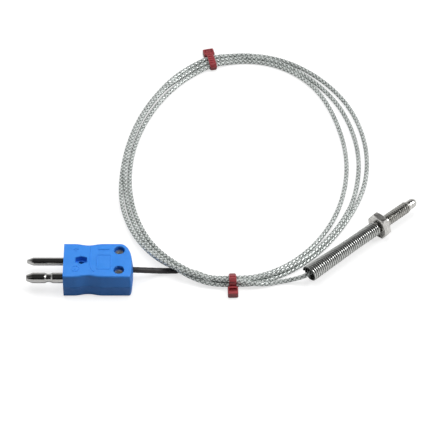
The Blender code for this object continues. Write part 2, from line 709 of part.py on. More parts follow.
def plug_cutters(plug):
    """Cutters that both halves of the plug share: chamber, pin holes, cable channel and screw holes."""
    barrel = PIN_BARREL_DIAMETER / 2 + SEAT_GAP
    chamber_half = PIN_SPACING / 2 + barrel + 0.2 * MM
    cutters = [box_cutter("chamber_space", (PLUG_WALL, -chamber_half, PLUG_FLOOR),
                          (PLUG_WALL + CHAMBER_LENGTH, chamber_half, PLUG_HEIGHT - PLUG_FLOOR), plug)]
    for name, side, diameter in (("pin_hole_positive", 1, PIN_POSITIVE_DIAMETER),
                                 ("pin_hole_negative", -1, PIN_NEGATIVE_DIAMETER)):
        radius = diameter / 2 + FIT_GAP
        hole = turned_piece(name, [(-MM, radius), (PLUG_WALL + MM, radius)], 20, None, plug,
                            (0.0, side * PIN_SPACING / 2, PLUG_MID))
        cutters.append(make_cutter(hole))
    channel = SLEEVE_DIAMETER / 2 + CHANNEL_MARGIN
    cutters.append(make_cutter(turned_piece("cable_channel", [
        (PLUG_WALL + CHAMBER_LENGTH - MM, channel), (PLUG_LENGTH + MM, channel)], 16, None, plug,
        (0.0, 0.0, PLUG_MID))))
    for index, side in enumerate((1, -1), start=1):
        centre = (COVER_SCREW_FROM_FACE, side * COVER_SCREW_SPACING / 2)
        cutters.append(upright_cutter(f"screw_hole_{index}", COVER_SCREW_DIAMETER / 2 + FIT_GAP,
                                      -MM, PLUG_HEIGHT + MM, 12, plug, centre))
    return cutters


def pocket_in_cover(cover, plug):
    """Six-sided pocket in the cover, in a boss that stands between the two terminals."""
    half_length = POCKET_LENGTH / 2
    half_width = POCKET_WIDTH / 2
    shoulder = half_width * POCKET_SHOULDER
    low = PLUG_HEIGHT - POCKET_DEPTH
    boss_half_length = half_length + POCKET_WALL
    boss_half_width = half_width + POCKET_WALL / 2
    boss = box_cutter("pocket_boss",
                      (POCKET_FROM_FACE - boss_half_length, -boss_half_width, low - POCKET_FLOOR),
                      (POCKET_FROM_FACE + boss_half_length, boss_half_width, PLUG_HEIGHT - PLUG_FLOOR / 2),
                      plug)
    join = cover.modifiers.new("boss", "BOOLEAN")
    join.operation = "UNION"
    join.object = boss
    join.solver = "EXACT"
    pocket = bmesh.new()
    outline = [(half_length, shoulder), (0.0, half_width), (-half_length, shoulder),
               (-half_length, -shoulder), (0.0, -half_width), (half_length, -shoulder)]
    rings = [ring_at(pocket, [(POCKET_FROM_FACE + x, y, height) for x, y in outline])
             for height in (low, PLUG_HEIGHT + MM)]
    bridge_rings(pocket, rings)
    space = make_cutter(add_mesh("pocket_space", pocket, None, plug, smooth=False))
    hole = upright_cutter("pocket_hole", POCKET_HOLE_DIAMETER / 2, low - POCKET_FLOOR - MM, PLUG_HEIGHT, 12,
                          plug, (POCKET_FROM_FACE, 0.0))
    cut(cover, [space, hole])


def plug_shell(material, plug):
    """Base and cover of the plug."""
    shared = plug_cutters(plug)
    base = plug_half("plug_base", 0.0, PLUG_MID - SEAT_GAP / 2, material, plug)
    cover = plug_half("plug_cover", PLUG_HEIGHT, PLUG_MID + SEAT_GAP / 2, material, plug)
    nut_radius = NUT_ACROSS_FLATS / math.sqrt(3) + FIT_GAP
    base_cutters = list(shared)
    cover_cutters = list(shared)
    head_seat = PLUG_HEIGHT - COVER_HEAD_SUNK - COVER_HEAD_HEIGHT - SEAT_GAP
    for index, side in enumerate((1, -1), start=1):
        centre = (COVER_SCREW_FROM_FACE, side * COVER_SCREW_SPACING / 2)
        base_cutters.append(upright_cutter(f"nut_pocket_{index}", nut_radius, -MM,
                                           NUT_FROM_UNDERSIDE + NUT_THICKNESS + SEAT_GAP, 6, plug, centre))
        cover_cutters.append(upright_cutter(f"head_bore_{index}", COVER_BORE_DIAMETER / 2, head_seat,
                                            PLUG_HEIGHT + MM, 16, plug, centre))
    cut(base, base_cutters)
    cut(cover, cover_cutters)
    pocket_in_cover(cover, plug)


def plug_pin(name, side, diameter, grooved, material, plug):
    """Round contact pin with a tapered nose and a clamping barrel inside the plug."""
    radius = diameter / 2
    barrel = PIN_BARREL_DIAMETER / 2
    profile = [(-PIN_REACH, radius * PIN_NOSE_TIP_SHARE),
               (-PIN_REACH + PIN_NOSE_LENGTH * 0.9, radius * 0.96),
               (-PIN_REACH + PIN_NOSE_LENGTH * 1.15, radius)]
    if grooved:
        start = -PIN_GROOVE_FROM_FACE - PIN_GROOVE_LENGTH
        neck = radius - PIN_GROOVE_DEPTH
        profile += [(start, radius), (start + PIN_GROOVE_LENGTH * 0.42, neck),
                    (start + PIN_GROOVE_LENGTH * 0.58, neck), (start + PIN_GROOVE_LENGTH, radius)]
    profile += [(PIN_BARREL_START, radius), (PIN_BARREL_START, barrel),
                (PIN_BARREL_START + PIN_BARREL_LENGTH, barrel)]
    centre = (0.0, side * PIN_SPACING / 2, PLUG_MID)
    pin = turned_piece(name, profile, 20, material, plug, centre)
    flat = box_cutter("flat_of_" + name,
                      (PIN_BARREL_START - SEAT_GAP / 2, centre[1] - 2 * barrel, PLUG_MID + PIN_BARREL_FLAT),
                      (PIN_BARREL_START + PIN_BARREL_LENGTH + MM, centre[1] + 2 * barrel, PLUG_HEIGHT), plug)
    hole = upright_cutter("tapped_" + name, TERMINAL_SCREW_DIAMETER / 2 + FIT_GAP, 0.0, PLUG_HEIGHT, 12, plug,
                          (TERMINAL_FROM_FACE, centre[1]))
    cut(pin, [flat, hole])
    return pin


def slotted_screw(name, diameter, length, head_diameter, head_height, centre, seat, material, plug):
    """Slotted cheese-head screw that hangs from its seat height."""
    shank = diameter / 2
    head = head_diameter / 2
    screw = upright_piece(name, [
        (-length, shank * 0.8), (-length + shank * 0.3, shank), (0.0, shank), (0.0, head),
        (head_height * 0.7, head), (head_height, head * 0.84)], 12, material, plug, (*centre, seat))
    top = seat + head_height
    slot = box_cutter("slot_of_" + name,
                      (centre[0] - head - MM, centre[1] - SLOT_WIDTH / 2, top - SLOT_DEPTH),
                      (centre[0] + head + MM, centre[1] + SLOT_WIDTH / 2, top + MM), plug)
    cut(screw, [slot])
    return screw


def washer(name, centre, low, material, plug):
    """Round clamp washer around a terminal screw."""
    sides = 16
    bore = TERMINAL_SCREW_DIAMETER / 2 + FIT_GAP
    outer = WASHER_DIAMETER / 2
    step = 2 * math.pi / sides
    mesh_data = bmesh.new()
    rings = []
    high = low + WASHER_THICKNESS
    for radius, height in ((bore, low), (outer, low), (outer, high), (bore, high)):
        rings.append(ring_at(mesh_data, [(centre[0] + radius * math.cos(step * i),
                                          centre[1] + radius * math.sin(step * i), height)
                                         for i in range(sides)]))
    bridge_rings(mesh_data, rings, close_loop=True)
    return add_mesh(name, mesh_data, material, plug)


def plug_wire(name, side, material, plug):
    """Stripped core from the end of the cable to its terminal, ending beside the screw under the washer."""
    radius = PLUG_WIRE_DIAMETER / 2
    flat = PLUG_MID + PIN_BARREL_FLAT + FIT_GAP + radius
    terminal = side * PIN_SPACING / 2
    beside = terminal - side * (TERMINAL_SCREW_DIAMETER / 2 + FIT_GAP + radius + FIT_GAP)
    barrel_end = PIN_BARREL_START + PIN_BARREL_LENGTH
    start_x = CABLE_END_FROM_FACE - SEAT_GAP
    start_y = side * (radius + FIT_GAP)
    points = [(start_x, start_y, PLUG_MID),
              (start_x - 1.0 * MM, start_y + side * 0.2 * MM, PLUG_MID + 0.4 * MM),
              (barrel_end + 1.2 * MM, beside - side * 1.0 * MM, flat - 0.1 * MM),
              (barrel_end + 0.3 * MM, beside - side * 0.2 * MM, flat + FIT_GAP),
              (barrel_end - 1.0 * MM, beside, flat),
              (TERMINAL_FROM_FACE - 1.0 * MM, beside, flat)]
    return round_tube(name, points, radius, material, plug, bevel_resolution=1)


def plug_inside(brass_positive, brass_negative, steel, plug):
    """Pins, terminal screws, clamp washers and stripped wires."""
    washer_low = PLUG_MID + PIN_BARREL_FLAT + PLUG_WIRE_DIAMETER + 2 * FIT_GAP + SEAT_GAP
    seat = washer_low + WASHER_THICKNESS + SEAT_GAP
    for word, side, diameter, grooved, material in (
            ("positive", 1, PIN_POSITIVE_DIAMETER, False, brass_positive),
            ("negative", -1, PIN_NEGATIVE_DIAMETER, True, brass_negative)):
        centre = (TERMINAL_FROM_FACE, side * PIN_SPACING / 2)
        plug_pin("pin_" + word, side, diameter, grooved, material, plug)
        slotted_screw("terminal_screw_" + word, TERMINAL_SCREW_DIAMETER, TERMINAL_SCREW_LENGTH,
                      TERMINAL_HEAD_DIAMETER, TERMINAL_HEAD_HEIGHT, centre, seat, steel, plug)
        washer("clamp_washer_" + word, centre, washer_low, steel, plug)
        plug_wire("plug_wire_" + word, side, material, plug)


def plug_fasteners(steel, plug):
    """Cover screws from above and their nuts from below."""
    seat = PLUG_HEIGHT - COVER_HEAD_SUNK - COVER_HEAD_HEIGHT
    bore = COVER_SCREW_DIAMETER / 2 + FIT_GAP
    outer = NUT_ACROSS_FLATS / math.sqrt(3)
    for index, side in enumerate((1, -1), start=1):
        centre = (COVER_SCREW_FROM_FACE, side * COVER_SCREW_SPACING / 2)
        slotted_screw(f"cover_screw_{index}", COVER_SCREW_DIAMETER, COVER_SCREW_LENGTH, COVER_HEAD_DIAMETER,
                      COVER_HEAD_HEIGHT, centre, seat, steel, plug)
        nut = upright_piece(f"cover_nut_{index}", [(0.0, outer), (NUT_THICKNESS, outer)], 6, steel, plug,
                            (*centre, NUT_FROM_UNDERSIDE))
        hole = upright_cutter(f"nut_thread_{index}", bore, 0.0, PLUG_HEIGHT, 12, plug, centre)
        cut(nut, [hole])


def hollow_tube(name, points, outer, inner, sides, material, parent):
    """Return a tube with a wall along a list of points that never runs upright."""
    mesh_data = bmesh.new()
    skins = []
    for radius in (outer, inner):
        rings = []
        for index, point in enumerate(points):
            ahead = points[min(index + 1, len(points) - 1)]
            behind = points[max(index - 1, 0)]
            forward = (ahead - behind).normalized()
            sideways = forward.cross(Vector((0.0, 0.0, 1.0))).normalized()
            upward = sideways.cross(forward)
            step = 2 * math.pi / sides
            rings.append(ring_at(mesh_data, [
                point + sideways * radius * math.cos(step * i) + upward * radius * math.sin(step * i)
                for i in range(sides)]))
        skins.append(rings)
    bridge_rings(mesh_data, skins[0] + list(reversed(skins[1])), close_loop=True)
    return add_mesh(name, mesh_data, material, parent)


def build():
    """Build the whole part."""
    clear_scene()
    steel = make_material("stainless", (0.62, 0.61, 0.58), 0.30, 1.0)
    spring_steel = make_material("spring_steel", (0.42, 0.42, 0.40), 0.35, 1.0)
    braid = make_material("steel_braid", (0.55, 0.57, 0.56), 0.45, 0.9)
    blue = make_material("blue_plastic", (0.05, 0.27, 0.85), 0.45, 0.0)
    red = make_material("red_plastic", (0.32, 0.05, 0.06), 0.35, 0.0)
    black = make_material("black_sleeve", (0.03, 0.028, 0.028), 0.55, 0.0)
    ceramic = make_material("ceramic", (0.85, 0.83, 0.78), 0.60, 0.0)
    alloy_positive = make_material("alloy_positive", (0.60, 0.58, 0.55), 0.18, 1.0)
    alloy_negative = make_material("alloy_negative", (0.55, 0.54, 0.52), 0.18, 1.0)

    probe_body(steel)
    relief_spring(spring_steel)
    probe_inside(steel, ceramic, alloy_positive, alloy_negative)

    turn = -PROBE_BEARING
    offset = Vector((PROBE_CENTRE_U * math.cos(turn) - PROBE_CENTRE_V * math.sin(turn),
                     PROBE_CENTRE_U * math.sin(turn) + PROBE_CENTRE_V * math.cos(turn), 0.0))
    bench = make_empty("bench", -offset, turn)
    plug = make_empty("plug_frame", (PLUG_PIN_FACE_U, PLUG_CENTRE_V, 0.0), 0.0)
    plug.parent = bench

    cable_coil(braid, bench)
    coil_tie("tie_far", TIE_FAR_AT, True, red, bench)
    coil_tie("tie_near", TIE_NEAR_AT, True, red, bench)
    tail = smooth_through(tail_route(), CORD_STEP)
    round_tube("cable_tail", tail, CABLE_RADIUS, braid, bench)
    sleeve_start = PLUG_PIN_FACE_U + SLEEVE_START_FROM_FACE
    sleeve_route = [point for point in tail if point.x >= sleeve_start]
    hollow_tube("cable_sleeve", sleeve_route, SLEEVE_DIAMETER / 2, SLEEVE_DIAMETER / 2 - SLEEVE_WALL, 10,
                black, bench)
    round_tube("cable_lead", smooth_through(lead_route(), CORD_STEP), CABLE_RADIUS, braid, bench)

    plug_shell(blue, plug)
    plug_inside(alloy_positive, alloy_negative, steel, plug)
    plug_fasteners(steel, plug)


build()
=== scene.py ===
"""Looks of the screw-in thermocouple probe, its braided lead in a tied coil and its two-pin plug."""

import logging
import math
from dataclasses import dataclass
from enum import Enum
from typing import Callable, Optional, Sequence, TypeVar, Union

import bmesh
import bpy
import numpy as np
from mathutils import Matrix, Vector


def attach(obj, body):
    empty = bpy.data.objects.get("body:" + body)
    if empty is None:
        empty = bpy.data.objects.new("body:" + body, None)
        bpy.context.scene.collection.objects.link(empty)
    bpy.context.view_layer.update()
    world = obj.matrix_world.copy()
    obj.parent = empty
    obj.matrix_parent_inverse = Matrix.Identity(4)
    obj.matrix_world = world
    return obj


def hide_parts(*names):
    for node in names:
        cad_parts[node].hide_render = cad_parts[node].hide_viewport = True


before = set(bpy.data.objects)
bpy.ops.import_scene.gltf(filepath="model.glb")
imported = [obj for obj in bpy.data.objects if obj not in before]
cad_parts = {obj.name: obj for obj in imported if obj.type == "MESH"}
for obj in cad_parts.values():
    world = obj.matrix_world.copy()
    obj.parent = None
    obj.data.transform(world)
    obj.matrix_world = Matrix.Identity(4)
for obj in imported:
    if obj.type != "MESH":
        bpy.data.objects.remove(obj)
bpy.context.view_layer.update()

MM = 0.001
BODY = "root"
LOG = logging.getLogger("probe_looks")

Point = tuple[float, float, float]
Pair = tuple[float, float]
Colour = tuple[float, float, float]
Stops = tuple[tuple[float, Colour], ...]
Ring = list[Point]
Mesh = tuple[list[Point], list[tuple[int, ...]]]
Value = Union[float, bpy.types.NodeSocket]
Spot = TypeVar("Spot", float, Vector)
Built = TypeVar("Built")


class Slot(Enum):
    """Material slots of the record."""

    STAINLESS = "stainless"
    SPRING_STEEL = "spring_steel"
    STEEL_BRAID = "steel_braid"
    ALLOY_POSITIVE = "alloy_positive"
    ALLOY_NEGATIVE = "alloy_negative"
    BLUE_PLASTIC = "blue_plastic"
    RED_PLASTIC = "red_plastic"
    BLACK_SLEEVE = "black_sleeve"


class Side(Enum):
    """Sides of the plug; the value is the sign of its place across the plug."""

    POSITIVE = 1
    NEGATIVE = -1


# Frames


@dataclass(frozen=True)
class Bench:
    """Frames that the pieces are laid out in, in millimetres, and their way into the shared frame."""

    bearing: float = 43.0
    probe_centre_u: float = 69.2
    probe_centre_v: float = -24.6
    pin_face_u: float = -77.0
    plug_centre_v: float = -47.8
    hex_back: float = 10.0
    axis_height: float = 6.0

    def bench_matrix(self) -> Matrix:
        """Return the matrix from the bench frame, u to the right and v away, to the shared frame."""
        turn = Matrix.Rotation(-math.radians(self.bearing), 4, "Z")
        shift = Matrix.Translation((-self.probe_centre_u, -self.probe_centre_v, 0.0))
        return Matrix.Scale(MM, 4) @ turn @ shift

    def plug_matrix(self) -> Matrix:
        """Return the matrix from the plug's frame, its pin face at zero, to the shared frame."""
        return self.bench_matrix() @ Matrix.Translation((self.pin_face_u, self.plug_centre_v, 0.0))

    def probe_matrix(self) -> Matrix:
        """Return the matrix from the probe's frame, the hexagon's back at zero, to the shared frame."""
        return Matrix.Scale(MM, 4) @ Matrix.Translation((self.hex_back, 0.0, self.axis_height))

    def on_probe_axis(self, station: float) -> Point:
        """Return a point of the bench frame on the probe's axis.

        Args:
            station: Place along the probe in the shared frame, in millimetres.

        Returns:
            The point in the bench frame.
        """
        turn = math.radians(self.bearing)
        return (self.probe_centre_u + station * math.cos(turn),
                self.probe_centre_v + station * math.sin(turn), self.axis_height)


BENCH = Bench()


# Mesh helpers


def add_piece(name: str, vertices: Sequence[Sequence[float]], faces: Sequence[Sequence[int]],
              material: Optional[bpy.types.Material], matrix: Matrix,
              sharp: float = 32.0) -> bpy.types.Object:
    """Make a closed mesh object with outward faces and crisp edges.

    Args:
        name: Name of the object.
        vertices: Points in the local frame.
        faces: Vertex indices of each face.
        material: Material of the whole piece.
        matrix: Way from the local frame to the shared one.
        sharp: Angle in degrees above which an edge stays crisp.

    Returns:
        The new object, at the origin.
    """
    mesh = bpy.data.meshes.new(name)
    mesh.from_pydata([tuple(vertex) for vertex in vertices], [], [tuple(face) for face in faces])
    mesh.transform(matrix)
    work = bmesh.new()
    work.from_mesh(mesh)
    bmesh.ops.recalc_face_normals(work, faces=work.faces)
    work.to_mesh(mesh)
    work.free()
    mesh.shade_smooth()
    mesh.set_sharp_from_angle(angle=math.radians(sharp))
    if material is not None:
        mesh.materials.append(material)
    piece = bpy.data.objects.new(name, mesh)
    bpy.context.scene.collection.objects.link(piece)
    return piece


def mark_valleys(piece: bpy.types.Object, depths: Sequence[float]) -> None:
    """Write each vertex's depth in its groove, 0 at the crest and 1 at the bottom, for the finish's painted
    shade in the grooves.
    """
    valley = piece.data.attributes.new("valley", "FLOAT", "POINT")
    valley.data.foreach_set("value", [min(1.0, max(0.0, depth)) for depth in depths])


def skin(rings: Sequence[Ring], closed: bool = False) -> Mesh:
    """Skin equal rings of points.

    Args:
        rings: Rings in order, each with the same number of points.
        closed: Join the last ring to the first instead of capping both.

    Returns:
        Vertices and faces.
    """
    count = len(rings[0])
    vertices = [point for ring in rings for point in ring]
    pairs = [(index, index + 1) for index in range(len(rings) - 1)]
    if closed:
        pairs.append((len(rings) - 1, 0))
    faces: list[tuple[int, ...]] = []
    for first, second in pairs:
        for index in range(count):
            following = (index + 1) % count
            faces.append((first * count + index, first * count + following,
                          second * count + following, second * count + index))
    if not closed:
        faces.append(tuple(range(count)))
        faces.append(tuple(range((len(rings) - 1) * count, len(rings) * count)))
    return vertices, faces


def circle(radius: float, sides: int, centre: Pair, start: float = 0.0) -> list[Pair]:
    """Return the points of a circle in its own plane, the first one at a start angle."""
    step = 2 * math.pi / sides
    return [(centre[0] + radius * math.cos(start + step * i),
             centre[1] + radius * math.sin(start + step * i))
            for i in range(sides)]


def circle_x(station: float, radius: float, sides: int, centre: Pair = (0.0, 0.0)) -> Ring:
    """Return a circle across the X axis at a station."""
    return [(station, y, z) for y, z in circle(radius, sides, centre)]


def circle_z(height: float, radius: float, sides: int, centre: Pair, start: float = 0.0) -> Ring:
    """Return a level circle at a height, its first point at a start angle."""
    return [(x, y, height) for x, y in circle(radius, sides, centre, start)]


def rounded_corner(station: float, radius: float, fillet: float, outwards: bool,
                   steps: int = 4) -> list[Pair]:
    """Return profile points that round a shoulder.

    Args:
        station: Place of the shoulder along the axis.
        radius: Radius of the shoulder's outer edge.
        fillet: Radius of the rounding.
        outwards: True where the profile climbs to the shoulder, False where it leaves it.
        steps: Number of pieces in the rounding.

    Returns:
        Points of (station, radius).
    """
    points = []
    for step in range(steps + 1):
        turn = math.pi / 2 * step / steps
        if outwards:
            points.append((station + fillet * (1 - math.sin(turn)),
                           radius - fillet * (1 - math.cos(turn))))
        else:
            points.append((station - fillet * (1 - math.cos(turn)),
                           radius - fillet * (1 - math.sin(turn))))
    return points[::-1]


def evaluated_copy(piece: bpy.types.Object, name: str) -> bpy.types.Object:
    """Turn an object with modifiers into a plain mesh object and remove the old one."""
    depsgraph = bpy.context.evaluated_depsgraph_get()
    mesh = bpy.data.meshes.new_from_object(piece.evaluated_get(depsgraph))
    mesh.name = name
    bpy.data.objects.remove(piece, do_unlink=True)
    result = bpy.data.objects.new(name, mesh)
    bpy.context.scene.collection.objects.link(result)
    return result


def carve(piece: bpy.types.Object, cutters: Sequence[bpy.types.Object],
          joined: Sequence[bpy.types.Object] = (), sharp: float = 32.0) -> bpy.types.Object:
    """Join pieces to a piece and cut others out of it.

    Args:
        piece: Piece to work on.
        cutters: Pieces to take away.
        joined: Pieces to add first.
        sharp: Angle in degrees above which an edge stays crisp.

    Returns:
        A plain mesh object under the piece's name.
    """
    for operation, tools in (("UNION", joined), ("DIFFERENCE", cutters)):
        for tool in tools:
            modifier = piece.modifiers.new(tool.name, "BOOLEAN")
            modifier.operation = operation
            modifier.object = tool
            modifier.solver = "EXACT"
    name = piece.name
    piece.name = name + "_raw"
    result = evaluated_copy(piece, name)
    result.data.shade_smooth()
    result.data.set_sharp_from_angle(angle=math.radians(sharp))
    return result


def drop(pieces: Sequence[bpy.types.Object]) -> None:
    """Remove pieces that only served as tools."""
    for piece in pieces:
        bpy.data.objects.remove(piece, do_unlink=True)


def box_piece(name: str, low: Point, high: Point, matrix: Matrix,
              material: Optional[bpy.types.Material] = None) -> bpy.types.Object:
    """Return a box between two corners."""
    ring = [(low[1], low[2]), (high[1], low[2]), (high[1], high[2]), (low[1], high[2])]
    vertices, faces = skin([[(station, y, z) for y, z in ring] for station in (low[0], high[0])])
    return add_piece(name, vertices, faces, material, matrix)


def lathe_x(name: str, profile: Sequence[Pair], sides: int, matrix: Matrix, centre: Pair,
            material: Optional[bpy.types.Material] = None) -> bpy.types.Object:
    """Turn a profile of (station, radius) about an axis along X."""
    vertices, faces = skin([circle_x(station, radius, sides, centre) for station, radius in profile])
    return add_piece(name, vertices, faces, material, matrix)


def lathe_z(name: str, profile: Sequence[Pair], sides: int, matrix: Matrix, centre: Pair,
            material: Optional[bpy.types.Material] = None, start: float = 0.0) -> bpy.types.Object:
    """Turn a profile of (height, radius) about an upright axis."""
    rings = [circle_z(height, radius, sides, centre, start) for height, radius in profile]
    vertices, faces = skin(rings)
    return add_piece(name, vertices, faces, material, matrix)


def between(before: Spot, start: Spot, end: Spot, after: Spot, t: float) -> Spot:
    """Return the place on a smooth curve a share t of the way from its start to its end."""
    return 0.5 * (2 * start + (end - before) * t
                  + (2 * before - 5 * start + 4 * end - after) * t ** 2
                  + (3 * start - before - 3 * end + after) * t ** 3)


def smooth_through(points: Sequence[Sequence[float]], step: float) -> list[Vector]:
    """Return points of a smooth curve through a route, about one step apart."""
    route = [Vector(point) for point in points]
    padded = [2 * route[0] - route[1], *route, 2 * route[-1] - route[-2]]
    curve = [route[0]]
    for index in range(1, len(padded) - 2):
        before, start, end, after = padded[index - 1:index + 3]
        pieces = max(1, round((end - start).length / step))
        for part in range(1, pieces + 1):
            curve.append(between(before, start, end, after, part / pieces))
    return curve


def tube_rings(points: Sequence[Vector], radii: Sequence[float], sides: int) -> list[Ring]:
    """Return rings across a path that turn as little as they can.

    Args:
        points: Points of the path.
        radii: Radius at each point.
        sides: Points of each ring.

    Returns:
        One ring for each point.
    """
    rings = []
    normal: Optional[Vector] = None
    step = 2 * math.pi / sides
    for index, point in enumerate(points):
        forward = (points[min(index + 1, len(points) - 1)] - points[max(index - 1, 0)]).normalized()
        if normal is None:
            normal = forward.cross(Vector((0.0, 0.0, 1.0))).normalized()
        normal = (normal - forward * normal.dot(forward)).normalized()
        sideways = forward.cross(normal)
        outward = [normal * math.cos(step * i) + sideways * math.sin(step * i) for i in range(sides)]
        rings.append([tuple(point + direction * radii[index]) for direction in outward])
    return rings


# Node graphs and materials


class NodeGraph:
    """A node tree with short calls that add, feed and link its nodes."""

    def __init__(self, tree: bpy.types.NodeTree) -> None:
        """Take the tree to work on."""
        self.tree = tree

    @classmethod
    def emptied(cls, owner: Union[bpy.types.Material, bpy.types.World]) -> "NodeGraph":
        """Return the graph of a material or a world with all its nodes removed."""
        owner.use_nodes = True
        owner.node_tree.nodes.clear()
        return cls(owner.node_tree)

    def node(self, kind: str, inputs: Optional[dict[Union[str, int], object]] = None,
             **settings: object) -> bpy.types.Node:
        """Add a node, set its properties, and feed its inputs by name or number."""
        made = self.tree.nodes.new(kind)
        for key, value in settings.items():
            setattr(made, key, value)
        for key, value in (inputs or {}).items():
            self.feed(made.inputs[key], value)
        return made

    def feed(self, socket: bpy.types.NodeSocket, value: object) -> None:
        """Link a socket to another or to a node's first output, or set its value."""
        if isinstance(value, bpy.types.Node):
            value = value.outputs[0]
        if isinstance(value, bpy.types.NodeSocket):
            self.tree.links.new(value, socket)
        else:
            socket.default_value = value

    def maths(self, operation: str, *values: Value) -> bpy.types.NodeSocket:
        """Return the output of a Math node."""
        return self.node("ShaderNodeMath", dict(enumerate(values)), operation=operation).outputs[0]


class ShaderGraph(NodeGraph):
    """A material's graph around one Principled shader, with the nodes that the finishes share."""

    def __init__(self, name: str) -> None:
        """Start a material with one Principled shader."""
        self.material = bpy.data.materials.new(name)
        self.material.use_nodes = True
        super().__init__(self.material.node_tree)
        self.shader = self.tree.nodes["Principled BSDF"]

    def noise(self, scale: float, detail: float = 2.0,
              stretch: Point = (1.0, 1.0, 1.0)) -> bpy.types.NodeSocket:
        """Return a noise value at a place on the object, stretched along each axis."""
        coordinates = self.node("ShaderNodeTexCoord").outputs["Object"]
        place = self.node("ShaderNodeMapping", {"Scale": stretch, "Vector": coordinates})
        return self.node("ShaderNodeTexNoise",
                         {"Scale": scale, "Detail": detail, "Vector": place}).outputs["Fac"]

    def valley(self) -> bpy.types.NodeSocket:
        """Return how deep a place lies in a groove, as mark_valleys wrote it, for painted shade."""
        return self.node("ShaderNodeAttribute", attribute_name="valley").outputs["Fac"]

    def ramp(self, value: Value, stops: Stops) -> bpy.types.NodeSocket:
        """Return a colour that follows a value through stops."""
        made = self.node("ShaderNodeValToRGB")
        elements = made.color_ramp.elements
        while len(elements) < len(stops):
            elements.new(0.5)
        for element, (place, colour) in zip(elements, stops):
            element.position = place
            element.color = (*colour, 1.0)
        self.feed(made.inputs["Fac"], value)
        return made.outputs["Color"]

    def spread(self, value: Value, old: Pair, new: Pair) -> bpy.types.NodeSocket:
        """Return a value moved from an old range to a new one."""
        return self.node("ShaderNodeMapRange", {
            "Value": value, "From Min": old[0], "From Max": old[1], "To Min": new[0], "To Max": new[1]
        }).outputs["Result"]

    def bump(self, height: bpy.types.NodeSocket, strength: float, distance: float) -> None:
        """Give the shader a bump from a height."""
        self.feed(self.shader.inputs["Normal"], self.node(
            "ShaderNodeBump", {"Strength": strength, "Distance": distance, "Height": height}))

    def set(self, **values: Value) -> None:
        """Set or link the shader's inputs, their names written with underscores."""
        for key, value in values.items():
            self.feed(self.shader.inputs[key.replace("_", " ")], value)


@dataclass(frozen=True)
class TurnedSteel:
    """Stainless steel with fine turning marks across the X axis, and painted shade in its thread's roots."""

    name: str = "turned_stainless"
    stops: Stops = ((0.10, (0.31, 0.31, 0.29)), (0.58, (0.54, 0.53, 0.50)), (0.80, (0.84, 0.83, 0.80)))
    roughness: Pair = (0.18, 0.34)
    mark_pitch: float = 0.00022
    mark_length: float = 1.0 / 60.0
    cloud_scale: float = 420.0
    # how much painted shade darkens the thread's roots
    painted_root_shade: float = 0.65

    def build(self) -> bpy.types.Material:
        """Return the material."""
        graph = ShaderGraph(self.name)
        marks = graph.noise(1.0, 3.0, (1.0 / self.mark_pitch, 1.0 / self.mark_length,
                                       1.0 / self.mark_length))
        cloud = graph.maths("MULTIPLY_ADD", graph.noise(self.cloud_scale, 3.0), 0.5, 0.5)
        # random clouding, minus painted shade in the thread's roots
        tone = graph.maths("SUBTRACT", cloud, graph.maths("MULTIPLY", graph.valley(), self.painted_root_shade))
        graph.set(Base_Color=graph.ramp(tone, self.stops), Metallic=1.0,
                  Roughness=graph.spread(marks, (0.3, 0.7), self.roughness))
        graph.bump(marks, 0.25, 0.00003)
        return graph.material


@dataclass(frozen=True)
class SpringWire:
    """Drawn spring wire, a little darker than the body, with painted shade that makes it nearly black
    between its turns.
    """

    name: str = "drawn_spring_wire"
    stops: Stops = ((0.05, (0.08, 0.085, 0.08)), (0.40, (0.32, 0.33, 0.32)), (0.62, (0.58, 0.59, 0.57)),
                    (0.85, (0.80, 0.81, 0.79)))
    roughness: Pair = (0.24, 0.32)
    streak_scale: float = 900.0
    # how much painted shade darkens the wire between its turns
    painted_gap_shade: float = 0.8

    def build(self) -> bpy.types.Material:
        """Return the material."""
        graph = ShaderGraph(self.name)
        streaks = graph.noise(self.streak_scale, 4.0)
        # streaky tone, minus painted shade between the turns
        tone = graph.maths("SUBTRACT", graph.maths("MULTIPLY_ADD", streaks, 0.4, 0.6),
                           graph.maths("MULTIPLY", graph.valley(), self.painted_gap_shade))
        graph.set(Base_Color=graph.ramp(tone, self.stops), Metallic=1.0,
                  Roughness=graph.spread(streaks, (0.3, 0.7), self.roughness))
        graph.bump(streaks, 0.06, 0.00002)
        return graph.material


